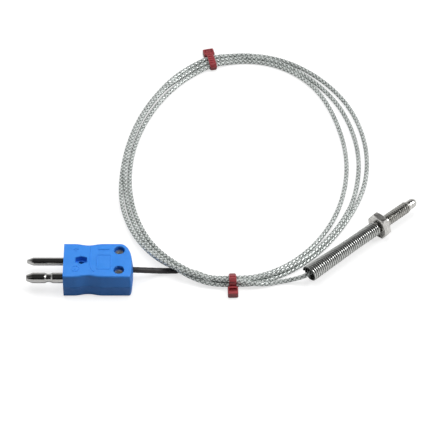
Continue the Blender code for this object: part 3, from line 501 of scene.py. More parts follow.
@dataclass(frozen=True)
class WovenBraid:
    """Steel wire braid: flat wire ribbons that run round the lead both ways, woven over and under. Its
    colour follows the weave's height: painted shade in the gaps between ribbons, painted highlight on their
    crowns.

    The pattern reads the piece's own UV map: u runs once round the lead, v counts millimetres along it.
    """

    name: str = "woven_steel_braid"
    ribbons: float = 3.0
    advance: float = 0.41
    wires: float = 6.0
    crown_power: float = 1.5
    wire_share: float = 0.2
    metal: float = 0.55
    # dark at the lowest weave heights for painted shade in the gaps, near white at the crowns for painted
    # highlight
    stops: Stops = ((0.20, (0.065, 0.075, 0.07)), (0.50, (0.43, 0.47, 0.45)),
                    (0.80, (0.92, 0.96, 0.94)))
    roughness: Pair = (0.55, 0.30)
    cloud_scale: float = 260.0

    def ribbon(self, graph: ShaderGraph, phase: Value) -> tuple[Value, Value]:
        """Return a ribbon family's crowned height across it and its running number."""
        across = graph.maths("FRACT", phase)
        number = graph.maths("FLOOR", phase)
        centred = graph.maths("SUBTRACT", graph.maths("MULTIPLY", across, 2.0), 1.0)
        fall = graph.maths("POWER", graph.maths("ABSOLUTE", centred), self.crown_power)
        crown = graph.maths("SUBTRACT", 1.0, fall)
        wave = graph.maths("SINE", graph.maths("MULTIPLY", across, math.pi * self.wires))
        wires = graph.maths("MULTIPLY", graph.maths("ABSOLUTE", wave), self.wire_share)
        return graph.maths("ADD", graph.maths("MULTIPLY", crown, 1.0 - self.wire_share), wires), number

    def build(self) -> bpy.types.Material:
        """Return the material."""
        graph = ShaderGraph(self.name)
        layout = graph.node("ShaderNodeUVMap", uv_map="lead")
        place = graph.node("ShaderNodeSeparateXYZ", {0: layout}).outputs
        around = graph.maths("MULTIPLY", place["X"], self.ribbons)
        along = graph.maths("MULTIPLY", place["Y"], self.advance)
        first, first_number = self.ribbon(graph, graph.maths("ADD", around, along))
        second, second_number = self.ribbon(graph, graph.maths("SUBTRACT", around, along))
        over = graph.maths("PINGPONG", graph.maths("ADD", first_number, second_number), 1.0)
        under = graph.maths("SUBTRACT", 1.0, over)
        height = graph.maths("ADD", graph.maths("MULTIPLY", first, over),
                             graph.maths("MULTIPLY", second, under))
        cloud = graph.maths("SUBTRACT", graph.noise(self.cloud_scale, 3.0), 0.5)
        # colour follows weave height: painted shade in the gaps, painted highlight on the crowns, with
        # random clouding
        tone = graph.maths("ADD", height, graph.maths("MULTIPLY", cloud, 0.5))
        graph.set(Base_Color=graph.ramp(tone, self.stops), Metallic=self.metal,
                  Roughness=graph.spread(height, (0.0, 1.0), self.roughness))
        graph.bump(height, 0.9, 0.00012)
        return graph.material


@dataclass(frozen=True)
class MouldedPlastic:
    """Moulded plastic with a fine grain and slight clouding."""

    name: str
    colour: Colour
    deep: Colour
    roughness: float = 0.42
    grain: float = 2600.0
    grain_depth: float = 0.00003
    coat: float = 0.0
    cloud_scale: float = 130.0

    def build(self) -> bpy.types.Material:
        """Return the material."""
        graph = ShaderGraph(self.name)
        grain = graph.noise(self.grain)
        cloud = graph.noise(self.cloud_scale, 3.0)
        rough = graph.spread(grain, (0.3, 0.7), (self.roughness - 0.06, self.roughness + 0.08))
        colour = graph.ramp(cloud, ((0.2, self.deep), (0.55, self.colour)))
        graph.set(Base_Color=colour, Roughness=rough,
                  Coat_Weight=self.coat, Coat_Roughness=0.15, Specular_IOR_Level=0.5)
        graph.bump(grain, 0.25, self.grain_depth)
        return graph.material


@dataclass(frozen=True)
class PolishedAlloy:
    """Polished contact alloy with faint marks."""

    name: str
    colour: Colour
    roughness: float = 0.09
    pale_share: float = 1.12
    marks_per_metre: float = 900.0

    def build(self) -> bpy.types.Material:
        """Return the material."""
        graph = ShaderGraph(self.name)
        marks = graph.noise(1.0, 3.0, (self.marks_per_metre,) * 3)
        pale = tuple(min(1.0, value * self.pale_share) for value in self.colour)
        graph.set(Base_Color=graph.ramp(marks, ((0.3, self.colour), (0.7, pale))), Metallic=1.0,
                  Roughness=graph.spread(marks, (0.3, 0.7), (self.roughness, self.roughness + 0.05)))
        graph.bump(marks, 0.08, 0.00002)
        return graph.material


@dataclass(frozen=True)
class FiredCeramic:
    """Matt fired ceramic of the twin-bore insulator."""

    name: str = "fired_ceramic"
    stops: Stops = ((0.3, (0.74, 0.71, 0.64)), (0.7, (0.88, 0.86, 0.81)))
    roughness: float = 0.7
    speck_scale: float = 1800.0

    def build(self) -> bpy.types.Material:
        """Return the material."""
        graph = ShaderGraph(self.name)
        speck = graph.noise(self.speck_scale, 4.0)
        graph.set(Base_Color=graph.ramp(speck, self.stops), Roughness=self.roughness)
        graph.bump(speck, 0.2, 0.00004)
        return graph.material


class Finishes:
    """Every finish of the object, built once."""

    def __init__(self) -> None:
        """Build the finishes."""
        self.steel = TurnedSteel().build()
        self.spring = SpringWire().build()
        self.braid = WovenBraid().build()
        self.blue = MouldedPlastic("moulded_blue", (0.040, 0.255, 0.80), (0.034, 0.225, 0.73)).build()
        self.red = MouldedPlastic("moulded_dark_red", (0.34, 0.050, 0.058), (0.24, 0.030, 0.036),
                                  roughness=0.34, grain=1800.0, grain_depth=0.00002, coat=0.35).build()
        self.black = MouldedPlastic("sleeve_black", (0.030, 0.027, 0.028), (0.020, 0.018, 0.019),
                                    roughness=0.46, grain=1500.0).build()
        self.positive = PolishedAlloy("polished_alloy_thin", (0.58, 0.575, 0.56)).build()
        self.negative = PolishedAlloy("polished_alloy_thick", (0.53, 0.525, 0.51)).build()
        self.screws = PolishedAlloy("plated_screws", (0.80, 0.79, 0.76), roughness=0.27).build()
        self.ceramic = FiredCeramic().build()


# Geometry node trees


class GeometryTree(NodeGraph):
    """A Geometry Nodes tree with named inputs, used once on a carrier object."""

    def __init__(self, name: str) -> None:
        """Start an empty tree with a geometry input and output."""
        super().__init__(bpy.data.node_groups.new(name, "GeometryNodeTree"))
        self.identifiers: dict[str, str] = {}
        for direction in ("INPUT", "OUTPUT"):
            self.tree.interface.new_socket(name="Geometry", in_out=direction,
                                           socket_type="NodeSocketGeometry")
        self.start = self.node("NodeGroupInput")
        self.end = self.node("NodeGroupOutput")

    def size(self, name: str, value: Union[float, int]) -> bpy.types.NodeSocket:
        """Add a named input with its value and return its socket."""
        kind = "NodeSocketInt" if isinstance(value, int) else "NodeSocketFloat"
        item = self.tree.interface.new_socket(name=name, in_out="INPUT", socket_type=kind)
        item.default_value = value
        self.identifiers[name] = item.identifier
        return self.start.outputs[name]

    def finish(self, geometry: bpy.types.Node, material: bpy.types.Material) -> None:
        """Realise the instances, set the material and end the tree."""
        real = self.node("GeometryNodeRealizeInstances", {"Geometry": geometry})
        dressed = self.node("GeometryNodeSetMaterial", {"Geometry": real, "Material": material})
        self.feed(self.end.inputs[0], dressed)

    def apply(self, carrier: bpy.types.Object, values: dict[str, Union[float, int]],
              name: str) -> bpy.types.Object:
        """Run the tree on a carrier and return the plain mesh that it makes.

        Args:
            carrier: Object that carries the modifier; it is removed.
            values: Input values by name.
            name: Name of the new object.

        Returns:
            The new mesh object.
        """
        modifier = carrier.modifiers.new(self.tree.name, "NODES")
        modifier.node_group = self.tree
        for key, value in values.items():
            modifier[self.identifiers[key]] = value
        return evaluated_copy(carrier, name)


# Sub-assemblies


@dataclass
class ScrewProbe:
    """Turned body: rear boss, hexagon, neck, thread, relief groove and bullet nose, in millimetres."""

    finish: bpy.types.Material
    across_flats: float = 12.0
    hex_thickness: float = 3.9
    chamfer_circle: float = 11.3
    chamfer_slope: float = 1.73
    boss_length: float = 9.0
    boss_diameter: float = 4.5
    neck_diameter: float = 5.7
    neck_length: float = 2.6
    thread_diameter: float = 6.0
    thread_length: float = 14.4
    thread_pitch: float = 1.25
    thread_depth: float = 0.62
    relief_diameter: float = 4.1
    relief_length: float = 0.6
    nose_diameter: float = 4.7
    nose_length: float = 5.6
    nose_wall: float = 0.9
    bore_diameter: float = 3.0
    bore_past_back: float = 2.0
    core_bore_diameter: float = 2.6
    sides: int = 72
    chamfer_depths: tuple[float, ...] = (0.0, 0.06, 0.15, 0.28, 0.45, 0.72)
    rings_per_pitch: int = 10
    fade_in: float = 0.7
    fade_out: float = 0.5
    end_chamfer: float = 0.35
    end_chamfer_length: float = 0.5
    boss_fillet: float = 0.25
    neck_fillet: float = 0.35
    groove_fillet: float = 0.12
    groove_edge: float = 0.02
    nose_fillet: float = 0.18
    nose_round_share: float = 1.05
    nose_steps: int = 12

    def __post_init__(self) -> None:
        """Work out the stations along the body, from the back of the hexagon."""
        self.thread_start = self.hex_thickness + self.neck_length
        self.thread_end = self.thread_start + self.thread_length
        self.nose_start = self.thread_end + self.relief_length
        self.tip = self.nose_start + self.nose_length

    def turned(self, profile: Sequence[Pair]) -> list[Ring]:
        """Return the rings of a turned profile of (station, radius)."""
        return [circle_x(station, radius, self.sides) for station, radius in profile]

    def hexagon_rings(self) -> list[Ring]:
        """Return the rings of the hexagon, its corners chamfered on both faces."""
        circumradius = self.across_flats / math.sqrt(3)
        depths = list(self.chamfer_depths)
        rings = []
        for station in depths + [self.hex_thickness - depth for depth in reversed(depths)]:
            depth = min(station, self.hex_thickness - station)
            limit = self.chamfer_circle / 2 + depth * self.chamfer_slope
            ring = []
            for index in range(self.sides):
                angle = 2 * math.pi * index / self.sides
                inside = (angle % (math.pi / 3)) - math.pi / 6
                flat = circumradius * math.cos(math.pi / 6) / math.cos(inside)
                radius = min(flat, limit)
                ring.append((station, radius * math.cos(angle), radius * math.sin(angle)))
            rings.append(ring)
        return rings

    def thread_rings(self) -> list[Ring]:
        """Return the rings of the threaded shank, its helix fading out at both ends."""
        pitch = self.thread_pitch
        steps = round(self.thread_length / pitch * self.rings_per_pitch)
        rings = []
        for step in range(steps + 1):
            along = self.thread_length * step / steps
            left = self.thread_length - along
            fade = min(1.0, along / (self.fade_in * pitch), left / (self.fade_out * pitch))
            chamfer = self.end_chamfer * max(0.0, 1.0 - min(along, left) / self.end_chamfer_length)
            ring = []
            for index in range(self.sides):
                angle = 2 * math.pi * index / self.sides
                phase = (along / pitch - index / self.sides) % 1.0
                flank = min(1.0, max(0.0, 2.4 * abs(phase - 0.5) - 0.2))
                radius = self.thread_diameter / 2 - chamfer - self.thread_depth * fade * (1.0 - flank)
                ring.append((self.thread_start + along, radius * math.cos(angle),
                             radius * math.sin(angle)))
            rings.append(ring)
        return rings

    def outer_rings(self) -> list[Ring]:
        """Return the rings of the outside, from the boss's end to the tip."""
        boss, plain, groove = self.boss_diameter / 2, self.neck_diameter / 2, self.relief_diameter / 2
        nose = self.nose_diameter / 2
        neck_start, edge, fillet = self.hex_thickness, self.groove_edge, self.groove_fillet
        behind = [*rounded_corner(-self.boss_length, boss, self.boss_fillet, True), (-0.01, boss)]
        neck = [(neck_start, plain + self.neck_fillet), (neck_start + 0.1, plain + 0.1),
                (neck_start + self.neck_fillet, plain), (self.thread_start - 0.3, plain)]
        front = [(self.thread_end + edge, groove + fillet), (self.thread_end + edge + fillet, groove),
                 (self.nose_start - edge - fillet, groove), (self.nose_start - edge, groove + fillet),
                 *rounded_corner(self.nose_start, nose, self.nose_fillet, True)]
        round_start = self.tip - nose * self.nose_round_share
        front.append((round_start, nose))
        for step in range(1, self.nose_steps):
            angle = math.pi / 2 * step / self.nose_steps
            front.append((round_start + (self.tip - round_start) * math.sin(angle),
                          nose * math.cos(angle)))
        front.append((self.tip, nose * 0.04))
        return [*self.turned(behind), *self.hexagon_rings(), *self.turned(neck), *self.thread_rings(),
                *self.turned(front)]

    def bore_rings(self) -> list[Ring]:
        """Return the rings of the stepped bore, from its blind end in the nose to its mouth."""
        core = self.core_bore_diameter / 2
        mouth = self.bore_diameter / 2
        end = self.tip - self.nose_wall
        return self.turned([(end, 0.05), (end - 0.15, core * 0.6), (end - 0.65, core),
                            (self.bore_past_back, core), (self.bore_past_back, mouth),
                            (-self.boss_length + self.boss_fillet, mouth),
                            (-self.boss_length, mouth + 0.2)])

    def build(self) -> bpy.types.Object:
        """Return the probe body: its outside and its bore, joined at the bore's mouth."""
        vertices, faces = skin(self.outer_rings())
        bore = self.bore_rings()
        inner_vertices, inner_faces = skin(bore)
        shift = len(vertices)
        last = (len(bore) - 1) * self.sides
        faces.remove(tuple(range(self.sides)))
        inner_faces.remove(tuple(range(last, last + self.sides)))
        faces += [tuple(index + shift for index in face) for face in inner_faces]
        for index in range(self.sides):
            following = (index + 1) % self.sides
            faces.append((index, following, shift + last + following, shift + last + index))
        piece = add_piece("probe_body_turned", vertices + inner_vertices, faces, self.finish,
                          BENCH.probe_matrix(), sharp=28.0)
        # depth in the thread's grooves, which the steel's finish turns into painted shade
        crest = self.thread_diameter / 2
        depths = [crest - math.hypot(y, z) if self.thread_start < x < self.thread_end else 0.0
                  for x, y, z in vertices]
        shares = [depth / self.thread_depth for depth in depths]
        mark_valleys(piece, shares + [0.0] * len(inner_vertices))
        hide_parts("probe_body")
        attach(piece, BODY)
        return piece


@dataclass
class ReliefSpring:
    """Close-wound strain relief spring, flared towards its free end, in millimetres."""

    finish: bpy.types.Material
    length: float = 47.0
    turns: int = 37
    wire: float = 1.12
    diameter: float = 7.15
    free_diameter: float = 8.6
    flare_share: float = 0.62
    steps_per_turn: int = 28
    wire_sides: int = 9
    seat_gap: float = 0.1

    def tree(self) -> GeometryTree:
        """Return the tree that winds a wire of given sizes about the X axis."""
        nodes = GeometryTree("wound_spring")
        length = nodes.size("Length", 0.04)
        start = nodes.size("Start", 0.0)
        height = nodes.size("Axis Height", 0.0)
        turns = nodes.size("Turns", 10)
        steps = nodes.size("Steps per Turn", 24)
        wire = nodes.size("Wire Radius", 0.0005)
        sides = nodes.size("Wire Sides", 8)
        radius = nodes.size("Coil Radius", 0.003)
        free = nodes.size("Free Radius", 0.004)
        flare = nodes.size("Flare Share", 0.6)
        count = nodes.maths("MULTIPLY", turns, steps)
        line = nodes.node("GeometryNodeMeshLine", {"Count": nodes.maths("ADD", count, 1.0)},
                          mode="OFFSET")
        curve = nodes.node("GeometryNodeMeshToCurve", {"Mesh": line})
        share = nodes.maths("DIVIDE", nodes.node("GeometryNodeInputIndex").outputs[0], count)
        angle = nodes.maths("MULTIPLY", share, nodes.maths("MULTIPLY", turns, 2 * math.pi))
        closing = nodes.maths("SUBTRACT", 1.0, nodes.maths("DIVIDE", share, flare))
        opening = nodes.maths("MAXIMUM", closing, 0.0)
        widening = nodes.maths("MULTIPLY", opening, nodes.maths("SUBTRACT", free, radius))
        reach = nodes.maths("ADD", radius, widening)
        spot = nodes.node("ShaderNodeCombineXYZ", {
            "X": nodes.maths("ADD", start, nodes.maths("MULTIPLY", share, length)),
            "Y": nodes.maths("MULTIPLY", reach, nodes.maths("COSINE", angle)),
            "Z": nodes.maths("ADD", height, nodes.maths("MULTIPLY", reach, nodes.maths("SINE", angle)))})
        moved = nodes.node("GeometryNodeSetPosition", {"Geometry": curve, "Position": spot})
        section = nodes.node("GeometryNodeCurvePrimitiveCircle", {"Resolution": sides, "Radius": wire},
                             mode="RADIUS")
        tube = nodes.node("GeometryNodeCurveToMesh", {"Curve": moved, "Profile Curve": section,
                                                      "Fill Caps": True})
        nodes.finish(tube, self.finish)
        return nodes

    def build(self) -> bpy.types.Object:
        """Return the spring."""
        carrier = bpy.data.objects.new("spring_carrier", bpy.data.meshes.new("spring_carrier"))
        bpy.context.scene.collection.objects.link(carrier)
        wire = self.wire / 2
        spring = self.tree().apply(carrier, {
            "Length": (self.length - self.wire) * MM,
            "Start": (BENCH.hex_back - self.seat_gap - self.length + wire) * MM,
            "Axis Height": BENCH.axis_height * MM,
            "Turns": self.turns,
            "Steps per Turn": self.steps_per_turn,
            "Wire Radius": wire * MM,
            "Wire Sides": self.wire_sides,
            "Coil Radius": (self.diameter / 2 - wire) * MM,
            "Free Radius": (self.free_diameter / 2 - wire) * MM,
            "Flare Share": self.flare_share}, "relief_spring_wound")
        spring.data.shade_smooth()
        spring.data.set_sharp_from_angle(angle=math.radians(50))
        self.mark(spring)
        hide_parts("relief_spring")
        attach(spring, BODY)
        return spring

    def mark(self, spring: bpy.types.Object) -> None:
        """Mark how far each vertex lies below the outermost line of its turn, which the wire's finish turns
        into painted shade between turns.
        """
        start = BENCH.hex_back - self.seat_gap - self.length
        depths = []
        for vertex in spring.data.vertices:
            x, y, z = vertex.co / MM
            opening = max(0.0, 1.0 - (x - start) / self.length / self.flare_share)
            outside = (self.diameter + opening * (self.free_diameter - self.diameter)) / 2
            depths.append((outside - math.hypot(y, z - BENCH.axis_height)) / (self.wire / 2))
        mark_valleys(spring, depths)


@dataclass
class LeadRoute:
    """Route of the braided lead on the bench, from the plug round the coil to the probe, in millimetres.

    The coil is an oval whose strands keep a share of the bundle's width, 0 inside and 1 outside. Angles run
    from the plug's side round the coil and go on past a full turn.
    """

    radius: float = 1.1
    step: float = 1.2
    centre: Pair = (10.4, 30.3)
    half_width: float = 59.5
    half_depth: float = 82.5
    tilt: float = -6.0
    tie_angles: Pair = (114.0, -86.8)
    tie_lift: float = 0.97
    tie_reach: float = 12.0
    first_angle: float = -100.0
    last_angle: float = 1011.5
    outer_lanes: tuple[float, ...] = (3.3, 2.7, 0.9, 1.5, 3.5, 1.0, 0.6, 3.3, 4.5, 1.5, 0.0, 0.4)
    inner_lanes: tuple[float, ...] = (-6.7, -7.7, -5.3, -3.3, -2.3, -3.1, -2.9, -2.3, -1.3, -3.3, -4.3,
                                      -5.4)
    shares: tuple[Pair, ...] = (
        (-100, 0.0), (236, 0.0), (264, 0.45), (285, 0.55), (300, 0.78), (330, 0.84), (348, 0.67),
        (360, 0.6), (372, 0.59), (395, 0.555), (406, 0.5), (420, 0.42), (440, 0.42), (480, 0.5),
        (510, 0.62), (545, 0.6), (560, 0.48), (575, 0.46), (596, 0.45), (624, 1.0), (955, 1.0),
        (975, 0.74), (990, 0.74), (1002, 1.3), (1011.5, 1.62))
    lifts: tuple[Pair, ...] = (
        (-100, 0.0), (200, 0.0), (230, 1.3), (249, 2.6), (259, 1.8), (274, 0.0), (560, 0.0), (590, 1.9),
        (604, 2.8), (616, 1.9), (634, 0.0), (908, 0.0), (940, 2.8), (958, 4.6), (968, 4.65), (980, 3.5),
        (988, 2.5), (996, 2.2), (1004, 1.4), (1011.5, 0.0))
    tail: tuple[Point, ...] = (
        (-59.5, -47.8, 7.0), (-56.0, -47.8, 7.0), (-47.2, -47.8, 7.0), (-43.4, -47.8, 7.0),
        (-41.4, -47.7, 6.75), (-39.5, -47.2, 6.1), (-37.1, -46.2, 4.95), (-34.7, -45.2, 3.75),
        (-32.3, -44.3, 2.7), (-29.8, -43.7, 1.95), (-27.4, -43.4, 1.58), (-25.0, -43.2, 1.5),
        (-21.5, -43.1, 1.45), (-17.4, -43.3, 1.35), (-13.2, -43.6, 1.15))
    lead: tuple[Point, ...] = (
        (26.8, -50.6, 1.1), (29.8, -50.1, 1.2), (32.7, -49.7, 1.6), (35.1, -49.6, 2.3), (37.5, -49.7, 3.2),
        (39.7, -49.7, 4.1), (41.5, -49.2, 4.8))
    axis_stations: tuple[float, ...] = (-32.8, -27.0, -15.0, 6.4)
    stacked: Pair = (262.0, 596.0)
    stack_spacing: float = 2.02
    held_reach: float = 1.4
    smooth_reach: int = 4
    smooth_spread: float = 1.8

    @staticmethod
    def lane(angle: float, lanes: Sequence[float]) -> float:
        """Return the sideways place of a strand at an angle, on a closed curve through its lanes."""
        count = len(lanes)
        place = (angle / 360.0 * count) % count
        index = int(place)
        before, start, end, after = (lanes[(index + step) % count] for step in (-1, 0, 1, 2))
        return between(before, start, end, after, place - index)

    def edges(self, total: float) -> Pair:
        """Return the sideways places of the bundle's inner and outer strand at a total angle."""
        angle = total % 360.0
        return self.lane(angle, self.inner_lanes), self.lane(angle, self.outer_lanes)

    def coil_point(self, angle: float, offset: float, height: float) -> Vector:
        """Return a point of the coil at an angle, a sideways offset and a height."""
        turn = math.radians(angle)
        tilt = math.radians(self.tilt)
        along_u = (self.half_width + offset) * math.cos(turn)
        along_v = (self.half_depth + offset) * math.sin(turn)
        return Vector((self.centre[0] + along_u * math.cos(tilt) - along_v * math.sin(tilt),
                       self.centre[1] + along_u * math.sin(tilt) + along_v * math.cos(tilt), height))

    @staticmethod
    def keyed(keys: Sequence[Pair], place: float) -> float:
        """Return the value of a smooth curve through keys that never overshoots them."""
        if place <= keys[0][0]:
            return keys[0][1]
        if place >= keys[-1][0]:
            return keys[-1][1]
        gaps = [after[0] - before[0] for before, after in zip(keys, keys[1:])]
        slopes = [(after[1] - before[1]) / gap for before, after, gap in zip(keys, keys[1:], gaps)]
        tangents = [0.0] * len(keys)
        for i in range(1, len(keys) - 1):
            if slopes[i - 1] * slopes[i] > 0:
                tangents[i] = 2 * slopes[i - 1] * slopes[i] / (slopes[i - 1] + slopes[i])
        i = max(index for index, key in enumerate(keys[:-1]) if key[0] <= place)
        t = (place - keys[i][0]) / gaps[i]
        return (keys[i][1] * (1 + 2 * t) * (1 - t) ** 2 + tangents[i] * gaps[i] * t * (1 - t) ** 2
                + keys[i + 1][1] * t * t * (3 - 2 * t) + tangents[i + 1] * gaps[i] * t * t * (t - 1))

    def strand_point(self, total: float) -> Vector:
        """Return the lead's centre at a total angle round the coil."""
        inner, outer = self.edges(total)
        height = self.radius + self.keyed(self.lifts, total)
        for tie in self.tie_angles:
            gap = abs((total - tie + 180.0) % 360.0 - 180.0)
            if gap < self.tie_reach:
                height += self.tie_lift * (0.5 + 0.5 * math.cos(math.pi * gap / self.tie_reach))
        share = self.keyed(self.shares, total)
        if self.stacked[0] < total < self.stacked[1]:
            beside = (outer - inner) * min(share, 1.0 - share)
            height += math.sqrt(max(0.0, (self.stack_spacing * self.radius) ** 2 - beside ** 2))
        return self.coil_point(total, inner + (outer - inner) * share, height)

    def points(self) -> list[Vector]:
        """Return evenly spaced points of the route in the bench frame, from the probe to the plug."""
        sweep = self.last_angle - self.first_angle
        degrees = round(sweep)
        coil = [self.strand_point(self.first_angle + sweep * i / degrees) for i in range(degrees + 1)]
        tail = smooth_through([*self.tail, coil[0]], self.step)[:-1]
        axis = [BENCH.on_probe_axis(station) for station in self.axis_stations]
        lead = smooth_through([coil[-1], *self.lead, *axis], self.step)[1:]
        raw = np.array([*tail, *coil, *lead])
        lengths = np.concatenate(([0.0], np.cumsum(np.linalg.norm(np.diff(raw, axis=0), axis=1))))
        places = np.linspace(0.0, lengths[-1], round(lengths[-1] / self.step) + 1)
        even = np.stack([np.interp(places, lengths, raw[:, k]) for k in range(3)], axis=1)
        reach = self.smooth_reach
        weights = np.exp(-0.5 * (np.arange(-reach, reach + 1) / self.smooth_spread) ** 2)
        weights /= weights.sum()
        count = np.arange(1, reach + 1)[:, None]
        before = even[0] + (even[0] - even[1]) * count[::-1]
        after = even[-1] + (even[-1] - even[-2]) * count
        padded = np.concatenate((before, even, after))
        smooth = np.stack([np.convolve(padded[:, k], weights, "valid") for k in range(3)], axis=1)
        return [Vector(point) for point in smooth[::-1]]

    def frame_at(self, angle: float, reach: float = 3.92) -> tuple[Vector, Vector, Vector]:
        """Return the bundle's middle at an angle, and the directions across and along it."""
        ends = []
        for turn in (-reach, reach):
            inner, outer = self.edges(angle + turn)
            ends.append(self.coil_point(angle + turn, (inner + outer) / 2, 0.0))
        along = (ends[1] - ends[0]).normalized()
        return (ends[0] + ends[1]) / 2, Vector((along.y, -along.x, 0.0)), along

    def strands_at(self, angle: float, middle: Vector, across: Vector) -> list[Pair]:
        """Return each held strand's place along a direction, from a middle, and its height."""
        found = []
        for turn in (-self.held_reach, 0.0, self.held_reach):
            total = (angle - self.first_angle) % 360.0 + self.first_angle + turn
            while total <= self.last_angle:
                spot = self.strand_point(total)
                found.append(((spot - middle).dot(across), spot.z))
                total += 360.0
        return found


@dataclass
class BraidedLead:
    """The steel-braided lead, one tube along its route."""

    finish: bpy.types.Material
    route: LeadRoute
    sides: int = 14
    exit_station: float = 0.4
    end_share: float = 0.93

    def build(self) -> tuple[bpy.types.Object, list[Vector]]:
        """Return the lead and the points of its route in the shared frame."""
        points = self.route.points()
        radii = [self.route.radius] * len(points)
        radii[0] *= self.end_share
        radii[-1] *= self.end_share
        vertices, faces = skin(tube_rings(points, radii, self.sides))
        matrix = BENCH.bench_matrix()
        piece = add_piece("braided_lead", vertices, faces, self.finish, matrix, sharp=60.0)
        self.lay_uv(piece)
        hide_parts("cable_lead", "cable_coil", "cable_tail")
        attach(piece, BODY)
        return piece, [matrix @ point for point in points]

    def lay_uv(self, piece: bpy.types.Object) -> None:
        """Give the tube its UV map: u once round it, v in millimetres along it."""
        mesh = piece.data
        layer = mesh.uv_layers.new(name="lead")
        for polygon in mesh.polygons:
            indices = [mesh.loops[loop].vertex_index for loop in polygon.loop_indices]
            places = [index % self.sides for index in indices]
            wraps = max(places) - min(places) > self.sides / 2
            for loop, index, place in zip(polygon.loop_indices, indices, places):
                around = place + self.sides if wraps and place == 0 else place
                layer.data[loop].uv = (around / self.sides, index // self.sides * self.route.step)


@dataclass
class CableSleeve:
    """Black sleeve on the lead where it leaves the plug, in millimetres."""

    finish: bpy.types.Material
    route: LeadRoute
    start_u: float = -57.0
    end_u: float = -21.5
    front_v: float = -38.0
    lowest: float = 1.3
    tail_reach: float = 0.7
    radius: float = 1.45
    inner_radius: float = 1.14
    end_rounding: float = 0.12
    ripple: float = 0.03
    ripple_step: float = 1.9
    sides: int = 20

    def points(self) -> list[Vector]:
        """Return the route's points that the sleeve covers, which belong to the stretch at the plug."""
        tail = smooth_through(self.route.tail, 1.0)
        return [point for point in self.route.points()
                if self.start_u <= point.x <= self.end_u and point.y < self.front_v and point.z > self.lowest
                and min((point - spot).length for spot in tail) < self.tail_reach]

    def build(self) -> bpy.types.Object:
        """Return the sleeve, a tube with a wall and rounded ends."""
        points = self.points()
        outer = [self.radius + self.ripple * math.sin(self.ripple_step * index)
                 for index in range(len(points))]
        outer[0] = outer[-1] = self.radius - self.end_rounding
        inner = [self.inner_radius] * len(points)
        rings = tube_rings(points, outer, self.sides) + tube_rings(points, inner, self.sides)[::-1]
        vertices, faces = skin(rings, closed=True)
        piece = add_piece("cable_sleeve_smooth", vertices, faces, self.finish, BENCH.bench_matrix(),
                          sharp=50.0)
        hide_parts("cable_sleeve")
        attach(piece, BODY)
        return piece


